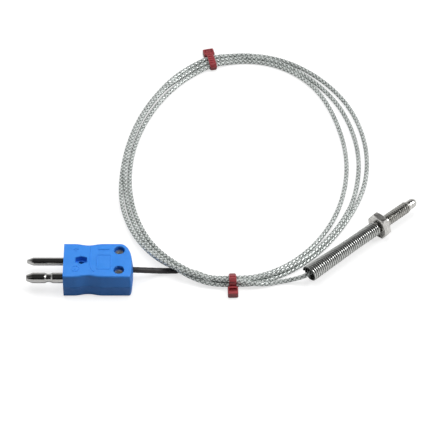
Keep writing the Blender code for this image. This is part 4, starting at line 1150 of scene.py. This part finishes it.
@dataclass
class CoilTie:
    """Plastic tie round the bundle: ridged band, ratchet head beside it, short tail, in millimetres."""

    finish: bpy.types.Material
    route: LeadRoute
    name: str
    node: str
    angle: float
    lean: float = 0.0
    slide: float = 0.0
    width: float = 3.6
    band: float = 0.85
    head_gap: float = 0.0
    loop_steps: int = 36
    head_length: float = 4.6
    head_width: float = 5.1
    head_height: float = 3.3
    head_low: float = 0.12
    head_bevel: float = 0.5
    corner_cut: float = 0.4
    window: Pair = (1.3, 3.5)
    window_depth: float = 1.6
    band_edge: float = 0.18
    hold: float = 0.06
    ridge_pitch: float = 1.5
    ridge_height: float = 0.26
    ridge_thickness: float = 0.7

    def __post_init__(self) -> None:
        """Work out the tie's own frame: x out of the coil, y along the bundle, z up."""
        middle, across, along = self.route.frame_at(self.angle)
        middle += along * self.slide
        turn = Matrix.Rotation(self.lean, 3, "Z")
        across, along = turn @ across, turn @ along
        local = Matrix.Identity(4)
        local.col[0] = (*across, 0.0)
        local.col[1] = (*along, 0.0)
        local.col[2] = (0.0, 0.0, 1.0, 0.0)
        local.col[3] = (*middle, 1.0)
        self.matrix = BENCH.bench_matrix() @ local
        self.strands = self.route.strands_at(self.angle, middle, across)
        self.reach = self.route.radius + self.hold
        right = max(place for place, _ in self.strands) + self.reach
        self.head_start = right + self.band * 0.4 + self.head_gap

    def loop(self, grow: float) -> list[Pair]:
        """Return the band's loop in its own plane, tight round the strands and grown by a distance."""
        points = []
        for step in range(self.loop_steps):
            turn = math.tau * (step + 0.5) / self.loop_steps
            out = (math.cos(turn), math.sin(turn))
            held = max(self.strands, key=lambda strand: strand[0] * out[0] + strand[1] * out[1])
            points.append((held[0] + (self.reach + grow) * out[0],
                           held[1] + (self.reach + grow) * out[1]))
        return points

    def band_piece(self) -> bpy.types.Object:
        """Return the band with softened edges."""
        half = self.width / 2
        soft = self.band_edge
        side = [(0.0, half - soft), (soft * 0.4, half), (self.band - soft, half),
                (self.band, half - soft)]
        section = [(grow, -y) for grow, y in side] + side[::-1]
        rings = [[(x, y, z) for x, z in self.loop(grow)] for grow, y in section]
        vertices, faces = skin(rings, closed=True)
        return add_piece(self.name, vertices, faces, self.finish, self.matrix, sharp=40.0)

    def head_piece(self) -> bpy.types.Object:
        """Return the ratchet head with its window."""
        start = self.head_start
        end = start + self.head_length
        high = self.head_low + self.head_height
        half = self.head_width / 2
        bevel, cut = self.head_bevel, self.corner_cut
        rings = []
        for station, inset in ((start, bevel), (start + bevel, 0.0), (end - bevel, 0.0),
                               (end - bevel * 0.3, bevel * 0.4), (end, bevel)):
            y0, y1, z0, z1 = -half + inset, half - inset, self.head_low + inset, high - inset
            outline = [(y0 + cut, z0), (y1 - cut, z0), (y1, z0 + cut), (y1, z1 - cut), (y1 - cut, z1),
                       (y0 + cut, z1), (y0, z1 - cut), (y0, z0 + cut)]
            rings.append([(station, y, z) for y, z in outline])
        vertices, faces = skin(rings)
        head = add_piece(self.name + "_head", vertices, faces, self.finish, self.matrix, sharp=25.0)
        reach = self.width / 2 + 0.1
        window = box_piece("tie_window", (start + self.window[0], -reach, high - self.window_depth),
                           (start + self.window[1], reach, high + 1.0), self.matrix)
        carved = carve(head, [window], sharp=25.0)
        drop([window])
        return carved

    def tail_piece(self) -> bpy.types.Object:
        """Return the cut tail of the band, which stands in the head's window."""
        start = self.head_start + 1.6
        half = self.width / 2 - 0.15
        rings = [[(x, -half, z), (x, half, z), (x, half, z + 0.9), (x, -half, z + 0.9)]
                 for x, z in ((start, 1.5), (start + 0.7, 2.2), (start + 1.5, 2.5))]
        vertices, faces = skin(rings)
        return add_piece(self.name + "_tail", vertices, faces, self.finish, self.matrix, sharp=25.0)

    def ridge_tree(self) -> GeometryTree:
        """Return the tree that sets small ridges across the band along its loop."""
        nodes = GeometryTree("band_ridges")
        pitch = nodes.size("Pitch", 0.001)
        thick = nodes.size("Thickness", 0.0004)
        wide = nodes.size("Width", 0.003)
        tall = nodes.size("Height", 0.0004)
        along = [nodes.size("Along " + axis, 0.0) for axis in "XY"]
        spread = nodes.node("GeometryNodeResampleCurve", {"Curve": nodes.start, "Length": pitch},
                            mode="LENGTH")
        size = nodes.node("ShaderNodeCombineXYZ", {"X": thick, "Y": wide, "Z": tall})
        ridge = nodes.node("GeometryNodeMeshCube", {"Size": size})
        tangent = nodes.node("GeometryNodeInputTangent")
        crossways = nodes.node("ShaderNodeCombineXYZ", {"X": along[0], "Y": along[1]})
        first = nodes.node("FunctionNodeAlignRotationToVector", {"Vector": tangent}, axis="X")
        second = nodes.node("FunctionNodeAlignRotationToVector",
                            {"Rotation": first, "Vector": crossways}, axis="Y", pivot_axis="X")
        placed = nodes.node("GeometryNodeInstanceOnPoints",
                            {"Points": spread, "Instance": ridge, "Rotation": second})
        nodes.finish(placed, self.finish)
        return nodes

    def ridges(self) -> bpy.types.Object:
        """Return the ridges on the outside of the band."""
        loop = self.loop(self.band)
        path = loop[self.loop_steps * 11 // 12:] + loop[:self.loop_steps * 7 // 12]
        curve = bpy.data.curves.new("ridge_path", "CURVE")
        curve.dimensions = "3D"
        spline = curve.splines.new("POLY")
        spline.points.add(len(path) - 1)
        for spot, (x, z) in zip(spline.points, path):
            spot.co = (*(self.matrix @ Vector((x, 0.0, z))), 1.0)
        carrier = bpy.data.objects.new("ridge_path", curve)
        bpy.context.scene.collection.objects.link(carrier)
        along = (self.matrix.to_3x3() @ Vector((0.0, 1.0, 0.0))).normalized()
        return self.ridge_tree().apply(carrier, {
            "Pitch": self.ridge_pitch * MM, "Thickness": self.ridge_thickness * MM,
            "Width": (self.width - 0.9) * MM, "Height": 2 * self.ridge_height * MM,
            "Along X": along.x, "Along Y": along.y}, self.name + "_ridges")

    def build(self) -> list[bpy.types.Object]:
        """Return the pieces of the tie."""
        pieces = [self.band_piece(), self.head_piece(), self.tail_piece(), self.ridges()]
        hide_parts(self.node)
        for piece in pieces:
            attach(piece, BODY)
        return pieces


@dataclass(frozen=True)
class PlugPlaces:
    """Places that the plug's pieces share, in millimetres from the pin face."""

    height: float = 14.0
    pin_spacing: float = 11.1
    screw_from_face: float = 27.0
    screw_spacing: float = 13.2

    def pin_centre(self, side: Side) -> Pair:
        """Return a pin's place across the plug and its height."""
        return side.value * self.pin_spacing / 2, self.height / 2

    def screw_centre(self, side: Side) -> Pair:
        """Return a cover screw's place along and across the plug."""
        return self.screw_from_face, side.value * self.screw_spacing / 2


PLUG = PlugPlaces()


@dataclass
class PlugShell:
    """Two moulded halves of the plug, in millimetres from the pin face."""

    finish: bpy.types.Material
    length: float = 33.8
    width: float = 23.6
    height: float = PLUG.height
    draft: float = 0.55
    edge_radius: float = 0.9
    waist_depth: float = 1.0
    waist_start: float = 5.0
    waist_end: float = 19.0
    far_cut: float = 5.8
    far_reach: float = 12.0
    near_cut: float = 1.2
    near_reach: float = 5.0
    floor: float = 2.2
    wall: float = 2.4
    chamber_length: float = 16.6
    chamber_half: float = 9.05
    parting_gap: float = 0.04
    channel_radius: float = 1.55
    pin_radii: Pair = (2.06, 2.61)
    screw_bore: float = 1.31
    head_bore: float = 2.6
    head_seat: float = 10.4
    nut_radius: float = 2.72
    nut_depth: float = 3.0
    pocket_from_face: float = 8.6
    pocket_length: float = 5.6
    pocket_width: float = 5.0
    pocket_depth: float = 3.0
    pocket_wall: float = 0.7
    pocket_floor: float = 0.8
    pocket_shoulder: float = 0.62
    pocket_hole: Pair = (1.7, 2.0)
    lip: float = 0.22
    waist_steps: int = 24
    near_steps: int = 8
    far_steps: int = 14
    edge_steps: int = 7
    parting_chamfer: float = 0.05
    mark_root: float = 0.3

    def half_width(self, station: float) -> float:
        """Return half the width at a station, with its waist."""
        if not self.waist_start < station < self.waist_end:
            return self.width / 2
        share = (station - self.waist_start) / (self.waist_end - self.waist_start)
        return self.width / 2 - self.waist_depth * math.sin(math.pi * share) ** 2

    def outline(self, inset: float) -> list[Pair]:
        """Return the outline at an inset, from the near pin corner round to the far one."""
        half = self.width / 2
        waist = self.waist_end - self.waist_start
        stations = [self.waist_start + waist * i / self.waist_steps
                    for i in range(self.waist_steps + 1)]
        near = [(0.0, -half + inset)]
        near += [(station, -self.half_width(station) + inset) for station in stations]
        far = [(station, self.half_width(station) - inset) for station in reversed(stations)]
        far.append((0.0, half - inset))
        end = self.length - inset
        cable_end = []
        for step in range(self.near_steps + 1):
            turn = math.pi / 2 * step / self.near_steps
            cable_end.append((end - self.near_cut * (1 - math.sin(turn)),
                              -half + inset + self.near_reach * (1 - math.cos(turn))))
        for step in range(self.far_steps + 1):
            turn = math.pi / 2 * step / self.far_steps
            cable_end.append((end - self.far_cut * (1 - math.cos(turn)),
                              half - inset - self.far_reach * (1 - math.sin(turn))))
        return near + cable_end + far

    def half_piece(self, name: str, outside: float, parting: float) -> bpy.types.Object:
        """Return the solid half between its outside face and the parting face."""
        direction = 1 if outside > parting else -1
        levels = [(parting, self.parting_chamfer), (parting + direction * self.parting_chamfer, 0.0)]
        for step in range(self.edge_steps + 1):
            turn = math.pi / 2 * step / self.edge_steps
            levels.append((outside - direction * self.edge_radius * (1 - math.sin(turn)),
                           self.draft + self.edge_radius * (1 - math.cos(turn))))
        rings = [[(x, y, height) for x, y in self.outline(inset)] for height, inset in levels]
        vertices, faces = skin(rings)
        return add_piece(name, vertices, faces, self.finish, BENCH.plug_matrix(), sharp=38.0)

    def shared_cutters(self) -> list[bpy.types.Object]:
        """Return the chamber, pin holes, cable channel and screw holes that both halves share."""
        matrix = BENCH.plug_matrix()
        chamber_end = self.wall + self.chamber_length
        channel, wide = self.channel_radius, self.channel_radius + 0.35
        cutters = [box_piece("chamber", (self.wall, -self.chamber_half, self.floor),
                             (chamber_end, self.chamber_half, self.height - self.floor), matrix)]
        for side, radius in zip(Side, self.pin_radii):
            profile = [(-0.5, radius + self.lip), (0.0, radius + self.lip), (self.lip, radius),
                       (self.wall + 0.5, radius)]
            cutters.append(lathe_x("pin_hole", profile, 40, matrix, PLUG.pin_centre(side)))
        profile = [(chamber_end - 1, channel), (self.length - 0.5, channel), (self.length, wide),
                   (self.length + 1, wide)]
        cutters.append(lathe_x("channel", profile, 32, matrix, (0.0, self.height / 2)))
        profile = [(-1.0, self.screw_bore), (self.height + 1, self.screw_bore)]
        cutters += [lathe_z("screw_hole", profile, 24, matrix, PLUG.screw_centre(side))
                    for side in Side]
        return cutters

    def cover_cutters(self) -> list[bpy.types.Object]:
        """Return the counterbores of the screw heads and the six-sided pocket with its hole."""
        matrix = BENCH.plug_matrix()
        top, bore, lip = self.height, self.head_bore, self.lip
        profile = [(self.head_seat, bore), (top - lip, bore), (top, bore + lip), (top + 1, bore + lip)]
        cutters = [lathe_z("head_bore", profile, 40, matrix, PLUG.screw_centre(side)) for side in Side]
        low = top - self.pocket_depth
        rings = []
        for height, grow in ((low, 0.0), (top - lip, 0.0), (top, lip), (top + 1, lip)):
            length = self.pocket_length / 2 + grow
            width = self.pocket_width / 2 + grow
            shoulder = width * self.pocket_shoulder
            outline = [(length, shoulder), (0.0, width), (-length, shoulder), (-length, -shoulder),
                       (0.0, -width), (length, -shoulder)]
            rings.append([(self.pocket_from_face + x, y, height) for x, y in outline])
        vertices, faces = skin(rings)
        cutters.append(add_piece("pocket", vertices, faces, None, matrix))
        radius, depth = self.pocket_hole
        cutters.append(lathe_z("pocket_hole", [(low - depth, radius), (low + 0.5, radius)], 32, matrix,
                               (self.pocket_from_face, 0.0)))
        return cutters

    def build(self) -> list[bpy.types.Object]:
        """Return the cover, the base and the cover's raised marks."""
        matrix = BENCH.plug_matrix()
        middle = self.height / 2
        shared = self.shared_cutters()
        own = self.cover_cutters()
        low = self.height - self.pocket_depth - self.pocket_floor
        length = self.pocket_length / 2 + self.pocket_wall
        width = self.pocket_width / 2 + self.pocket_wall / 2
        boss = box_piece("pocket_boss", (self.pocket_from_face - length, -width, low),
                         (self.pocket_from_face + length, width, self.height - self.floor / 2), matrix)
        cover = self.half_piece("plug_cover_moulded", self.height, middle + self.parting_gap / 2)
        cover = carve(carve(cover, shared, sharp=38.0), own, [boss], sharp=38.0)
        pocket = [(-1.0, self.nut_radius), (self.nut_depth, self.nut_radius)]
        nuts = [lathe_z("nut_pocket", pocket, 6, matrix, PLUG.screw_centre(side), start=math.pi / 6)
                for side in Side]
        base = self.half_piece("plug_base_moulded", 0.0, middle - self.parting_gap / 2)
        base = carve(base, shared + nuts, sharp=38.0)
        drop([*shared, *own, *nuts, boss])
        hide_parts("plug_cover")
        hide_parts("plug_base")
        return self.keep([cover, base, *self.marks()])

    def keep(self, pieces: list[bpy.types.Object]) -> list[bpy.types.Object]:
        """Let the pieces ride with the body."""
        for piece in pieces:
            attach(piece, BODY)
        return pieces

    def raised_box(self, name: str, centre: Pair, size: Pair, rise: float = 0.2) -> bpy.types.Object:
        """Return a raised bar on the cover's top with bevelled edges."""
        rings = []
        for height, inset in ((-self.mark_root, 0.0), (rise * 0.6, 0.0), (rise, 0.1)):
            half_x, half_y = size[0] / 2 - inset, size[1] / 2 - inset
            corners = [(-half_x, -half_y), (half_x, -half_y), (half_x, half_y), (-half_x, half_y)]
            rings.append([(centre[0] + x, centre[1] + y, self.height + height) for x, y in corners])
        vertices, faces = skin(rings)
        return add_piece(name, vertices, faces, self.finish, BENCH.plug_matrix())

    def raised_line(self, name: str, points: Sequence[Pair], width: float, closed: bool = False,
                    rise: float = 0.16) -> bpy.types.Object:
        """Return a thin raised line along a path on the cover's top."""
        path = [Vector((x, y, 0.0)) for x, y in points]
        low = Vector((0.0, 0.0, self.height - self.mark_root))
        high = Vector((0.0, 0.0, self.height + rise))
        count = len(path)
        rings = []
        for index, point in enumerate(path):
            ahead = path[(index + 1) % count] if closed else path[min(index + 1, count - 1)]
            behind = path[index - 1] if closed else path[max(index - 1, 0)]
            forward = (ahead - behind).normalized()
            side = Vector((-forward.y, forward.x, 0.0)) * width / 2
            rings.append([tuple(point - side + low), tuple(point + side + low),
                          tuple(point + side * 0.6 + high), tuple(point - side * 0.6 + high)])
        vertices, faces = skin(rings, closed=closed)
        return add_piece(name, vertices, faces, self.finish, BENCH.plug_matrix())

    def marks(self) -> list[bpy.types.Object]:
        """Return the cover's plain raised marks: plus, ringed minus, line, bar and bare plate rim."""
        plus, minus = (6.0, 7.2), (6.0, -6.0)
        line = [(13.1, 8.2), (13.0, 4.5), (13.0, 0.0), (13.1, -3.4), (13.5, -5.8), (14.2, -7.3),
                (15.3, -8.0)]
        rim = [(16.7, 3.2), (22.5, 3.2), (23.0, 2.7), (23.0, -5.8), (22.5, -6.3), (16.7, -6.3),
               (16.2, -5.8), (16.2, 2.7)]
        return [self.raised_box("mark_plus_long", plus, (2.6, 0.5)),
                self.raised_box("mark_plus_cross", plus, (0.5, 2.6)),
                self.raised_line("mark_ring", circle(1.75, 32, minus), 0.4, closed=True),
                self.raised_box("mark_minus", minus, (0.5, 1.9)),
                self.raised_line("mark_line", line, 0.45),
                self.raised_box("mark_bar", (19.4, 7.3), (5.6, 1.3), rise=0.3),
                self.raised_line("plate_rim", rim, 0.35, closed=True)]


@dataclass
class ContactPin:
    """Round contact pin with a tapered nose, and its clamping barrel in the plug, in millimetres."""

    finish: bpy.types.Material
    side: Side
    radius: float
    grooved: bool
    tip_radius: float
    reach: float = 18.2
    nose_length: float = 3.1
    groove_from_face: float = 5.4
    groove_length: float = 3.6
    groove_depth: float = 0.55
    groove_steps: int = 12
    shoulder_steps: int = 6
    barrel_start: float = 2.5
    barrel_length: float = 8.0
    barrel_radius: float = 3.2
    barrel_flat: float = 1.5
    tapped_radius: float = 1.26
    sides: int = 48

    def profile(self) -> list[Pair]:
        """Return the pin's profile from its tip to the barrel's end."""
        tip = self.tip_radius
        points = [(-self.reach, tip * 0.4), (-self.reach + 0.04, tip * 0.8), (-self.reach + 0.22, tip)]
        shoulder = -self.reach + self.nose_length
        for step in range(self.shoulder_steps + 1):
            share = step / self.shoulder_steps
            soft = self.radius - (self.radius - tip) * 0.10 * (1 - share) ** 2
            points.append((shoulder - 0.35 + 0.9 * share, soft))
        if self.grooved:
            start = -self.groove_from_face - self.groove_length
            for step in range(self.groove_steps + 1):
                share = step / self.groove_steps
                depth = self.groove_depth * math.sin(math.pi * share) ** 0.8
                points.append((start + self.groove_length * share, self.radius - depth))
        points += [(-0.05, self.radius), (self.barrel_start - 0.02, self.radius)]
        end = self.barrel_start + self.barrel_length
        points += rounded_corner(self.barrel_start, self.barrel_radius, 0.2, True)
        points += rounded_corner(end, self.barrel_radius, 0.2, False)
        return points

    def build(self) -> bpy.types.Object:
        """Return the pin."""
        matrix = BENCH.plug_matrix()
        across, height = PLUG.pin_centre(self.side)
        end = self.barrel_start + self.barrel_length
        word = self.side.name.lower()
        pin = lathe_x("contact_pin_" + word, self.profile(), self.sides, matrix, (across, height),
                      self.finish)
        flat = box_piece("barrel_flat", (self.barrel_start - 0.05, across - 6.0, height + self.barrel_flat),
                         (end + 1.0, across + 6.0, PLUG.height), matrix)
        hole = lathe_z("tapped_hole", [(0.0, self.tapped_radius), (PLUG.height, self.tapped_radius)], 24,
                       matrix, (self.barrel_start + self.barrel_length / 2, across))
        carved = carve(pin, [flat, hole], sharp=30.0)
        drop([flat, hole])
        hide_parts("pin_" + word)
        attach(carved, BODY)
        return carved


@dataclass
class CoverScrew:
    """Slotted cover screw with a rounded head, in millimetres."""

    finish: bpy.types.Material
    number: int
    side: Side
    slot_turn: float
    seat: float = 10.5
    head_radius: float = 2.2
    head_height: float = 2.2
    shank_radius: float = 1.25
    length: float = 9.4
    slot_width: float = 0.8
    slot_depth: float = 0.8
    head_steps: int = 6

    def build(self) -> bpy.types.Object:
        """Return the screw."""
        matrix = BENCH.plug_matrix()
        centre = PLUG.screw_centre(self.side)
        head, shank, end = self.head_radius, self.shank_radius, self.seat - self.length
        top = self.seat + self.head_height
        profile = [(end, shank * 0.8), (end + 0.35, shank), (self.seat, shank), (self.seat, head - 0.1),
                   (self.seat + 0.1, head)]
        for step in range(self.head_steps + 1):
            turn = math.pi / 2 * step / self.head_steps
            profile.append((top - 0.75 + 0.6 * math.sin(turn), head - 0.45 * (1 - math.cos(turn))))
        profile += [(top - 0.06, head * 0.5), (top, head * 0.12)]
        screw = lathe_z(f"cover_screw_head_{self.number}", profile, 40, matrix, centre, self.finish)
        turn = Matrix.Translation((*centre, 0.0)) @ Matrix.Rotation(self.slot_turn, 4, "Z")
        slot = box_piece("screw_slot", (-4.0, -self.slot_width / 2, top - self.slot_depth),
                         (4.0, self.slot_width / 2, top + 1.0), matrix @ turn)
        carved = carve(screw, [slot], sharp=30.0)
        drop([slot])
        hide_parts(f"cover_screw_{self.number}")
        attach(carved, BODY)
        return carved


@dataclass
class InnerPieces:
    """Pieces of the model that keep their own shape and take a finish."""

    finishes: Finishes

    def build(self) -> list[str]:
        """Dress the nodes and return their names."""
        finishes = self.finishes
        groups = (
            (finishes.steel, ("crimp_ferrule",)),
            (finishes.ceramic, ("insulator_core",)),
            (finishes.positive, ("core_wire_positive", "junction_bead", "plug_wire_positive")),
            (finishes.negative, ("core_wire_negative", "plug_wire_negative")),
            (finishes.screws, ("terminal_screw_positive", "terminal_screw_negative", "clamp_washer_positive",
                               "clamp_washer_negative", "cover_nut_1", "cover_nut_2")))
        for material, names in groups:
            for name in names:
                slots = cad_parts[name].data.materials
                for index in range(len(slots)):
                    slots[index] = material
        return [name for _, names in groups for name in names]


@dataclass
class Studio:
    """Camera at the photograph's angle, pale floor, two soft lamps, and what polished metal reflects.

    The camera sees white round the object. Reflections see a pale wall, a dark ceiling and a dark card.
    """

    azimuth: float = 317.0
    elevation: float = 45.0
    distance: float = 1.5
    image_width: int = 444
    pixels_per_mm: float = 2.0
    sensor: float = 36.0
    clip: Pair = (0.05, 20.0)
    soft_light: float = 0.13
    ceiling: tuple[float, float, float, float] = (0.25, 0.88, 0.90, 0.05)
    floor_half: float = 6.0
    floor_height: float = -0.0002
    floor_glow: float = 0.71
    floor_seen: float = 0.38
    floor_lit: float = 0.70
    floor_dim: float = 0.24
    card_shade: float = 0.02

    def target(self) -> Vector:
        """Return the bench's own centre in the shared frame."""
        return BENCH.bench_matrix() @ Vector((0.0, 0.0, 0.0))

    @staticmethod
    def add(name: str, data: bpy.types.ID) -> bpy.types.Object:
        """Return a new object of the scene that holds the data."""
        made = bpy.data.objects.new(name, data)
        bpy.context.scene.collection.objects.link(made)
        return made

    @staticmethod
    def look(watcher: bpy.types.Object, direction: Vector) -> None:
        """Turn a camera or a lamp towards a direction."""
        watcher.rotation_mode = "QUATERNION"
        watcher.rotation_quaternion = direction.to_track_quat("-Z", "Y")

    def camera(self) -> bpy.types.Object:
        """Make the camera and return it."""
        data = bpy.data.cameras.new("photo_view")
        data.sensor_width = self.sensor
        focal_pixels = self.pixels_per_mm / MM * self.distance
        data.lens = focal_pixels / self.image_width * self.sensor
        data.clip_start, data.clip_end = self.clip
        camera = self.add("photo_view", data)
        a, e = math.radians(self.azimuth), math.radians(self.elevation)
        back = Vector((math.sin(a) * math.cos(e), -math.cos(a) * math.cos(e), math.sin(e)))
        camera.location = self.target() + back * self.distance
        self.look(camera, -back)
        bpy.context.scene.camera = camera
        return camera

    def lamp(self, name: str, place: Point, size: float, power: float) -> bpy.types.Object:
        """Return a square soft lamp that looks at the object.

        Args:
            name: Name of the lamp.
            place: Its place in the bench frame, in millimetres.
            size: Side of the square, in metres.
            power: Power in watts.

        Returns:
            The lamp.
        """
        data = bpy.data.lights.new(name, "AREA")
        data.energy = power
        data.size = size
        lamp = self.add(name, data)
        lamp.location = BENCH.bench_matrix() @ Vector(place)
        self.look(lamp, self.target() - lamp.location)
        return lamp

    def card(self, name: str, place: Point, width: float, height: float) -> bpy.types.Object:
        """Return a dark card that faces the object and shows only in reflections.

        Args:
            name: Name of the card.
            place: Its middle in the bench frame, in millimetres.
            width: Its width, in metres.
            height: Its height, in metres.

        Returns:
            The card.
        """
        centre = BENCH.bench_matrix() @ Vector(place)
        facing = (self.target() - centre).normalized()
        side = facing.cross(Vector((0.0, 0.0, 1.0))).normalized() * width / 2
        up = side.cross(facing).normalized() * height / 2
        corners = [centre - side - up, centre + side - up, centre + side + up, centre - side + up]
        mesh = bpy.data.meshes.new(name)
        mesh.from_pydata([tuple(corner) for corner in corners], [], [(0, 1, 2, 3)])
        graph = ShaderGraph(name + "_black")
        graph.set(Base_Color=(*(self.card_shade,) * 3, 1.0), Roughness=0.9)
        mesh.materials.append(graph.material)
        card = self.add(name, mesh)
        card.visible_camera = False
        card.visible_diffuse = False
        card.visible_shadow = False
        return card

    def floor(self) -> bpy.types.Object:
        """Return the pale floor: white to the camera outside shadows, and dim as light from below."""
        half, height = self.floor_half, self.floor_height
        corners = [(-half, -half, height), (half, -half, height), (half, half, height),
                   (-half, half, height)]
        mesh = bpy.data.meshes.new("studio_floor")
        mesh.from_pydata(corners, [], [(0, 1, 2, 3)])
        material = bpy.data.materials.new("pale_floor")
        graph = NodeGraph.emptied(material)
        path = graph.node("ShaderNodeLightPath").outputs
        lit, dim, seen = [graph.node("ShaderNodeBsdfDiffuse", {"Color": (shade, shade, shade, 1.0)})
                          for shade in (self.floor_lit, self.floor_dim, self.floor_seen)]
        glow = graph.node("ShaderNodeEmission", {"Strength": self.floor_glow})
        bright = graph.node("ShaderNodeAddShader", {0: glow, 1: seen})
        around = graph.node("ShaderNodeMixShader", {0: path["Is Diffuse Ray"], 1: lit, 2: dim})
        shown = graph.node("ShaderNodeMixShader", {0: path["Is Camera Ray"], 1: around, 2: bright})
        graph.node("ShaderNodeOutputMaterial", {"Surface": shown})
        mesh.materials.append(material)
        floor = self.add("studio_floor", mesh)
        return floor

    def world(self) -> bpy.types.World:
        """Make the world: white to the camera, soft as light, a dark-ceilinged room in reflections."""
        world = bpy.data.worlds.new("studio")
        graph = NodeGraph.emptied(world)
        path = graph.node("ShaderNodeLightPath").outputs
        direction = graph.node("ShaderNodeTexCoord").outputs["Generated"]
        height = graph.node("ShaderNodeSeparateXYZ", {0: direction}).outputs["Z"]
        fall = dict(zip(("From Min", "From Max", "To Min", "To Max"), self.ceiling))
        ceiling = graph.node("ShaderNodeMapRange", {"Value": height, **fall},
                             interpolation_type="SMOOTHSTEP")
        light, room, shown = [graph.node("ShaderNodeBackground", {"Strength": strength})
                              for strength in (self.soft_light, ceiling, 1.0)]
        mirrored = graph.maths("MAXIMUM", path["Is Glossy Ray"], path["Is Transmission Ray"])
        reflected = graph.node("ShaderNodeMixShader", {0: mirrored, 1: light, 2: room})
        mix = graph.node("ShaderNodeMixShader", {0: path["Is Camera Ray"], 1: reflected, 2: shown})
        graph.node("ShaderNodeOutputWorld", {"Surface": mix})
        bpy.context.scene.world = world
        return world

    def build(self) -> None:
        """Make the floor, the world, the lamps and the card."""
        self.floor()
        self.world()
        self.lamp("key_lamp", (760.0, -40.0, 750.0), size=0.32, power=4.4)
        softbox = self.lamp("softbox", (-60.0, 160.0, 1000.0), size=1.0, power=10.0)
        softbox.visible_glossy = False
        self.card("front_card", (0.0, -700.0, 420.0), width=1.6, height=0.62)
        bpy.context.scene.view_settings.view_transform = "Standard"


def report(name: str, build: Callable[[], Built]) -> Built:
    """Build a sub-assembly and report it.

    Args:
        name: Plain name of the sub-assembly.
        build: Function that builds it.

    Returns:
        What the function returned.
    """
    made = build()
    LOG.info("built %s", name)
    return made


def main() -> None:
    """Build the looks in order: camera and lead first, then the pieces, the lead's length in the log and the
    studio.
    """
    logging.basicConfig(level=logging.INFO, format="%(name)s: %(message)s")
    studio = Studio()
    studio.camera()
    finishes = Finishes()
    route = LeadRoute()
    lead = BraidedLead(finishes.braid, route)
    cord, path = report("braided lead", lead.build)
    report("probe body", ScrewProbe(finishes.steel).build)
    report("relief spring", ReliefSpring(finishes.spring).build)
    sleeve = report("sleeve", CableSleeve(finishes.black, route).build)
    far_angle, near_angle = route.tie_angles
    ties = report("far tie", CoilTie(finishes.red, route, "tie_far_band", "tie_far", far_angle,
                                     lean=-0.19, slide=-0.5, head_width=5.7).build)
    ties += report("near tie", CoilTie(finishes.red, route, "tie_near_band", "tie_near", near_angle,
                                       head_gap=0.45, head_length=5.3).build)
    shell = report("plug shell", PlugShell(finishes.blue).build)
    pins = [report("thin pin", ContactPin(finishes.positive, Side.POSITIVE, radius=2.0, grooved=False,
                                          tip_radius=0.95).build),
            report("thick pin", ContactPin(finishes.negative, Side.NEGATIVE, radius=2.55, grooved=True,
                                           tip_radius=1.5).build)]
    screws = [report("cover screw", CoverScrew(finishes.screws, number, side, turn).build)
              for number, side, turn in ((1, Side.POSITIVE, 0.5), (2, Side.NEGATIVE, -0.35))]
    report("inner pieces", InnerPieces(finishes).build)
    length = sum((after - before).length for before, after in zip(path, path[1:]))
    LOG.info("lead is %.3f m long", length)
    studio.build()
    bpy.context.view_layer.update()


if __name__ == "__main__":
    main()
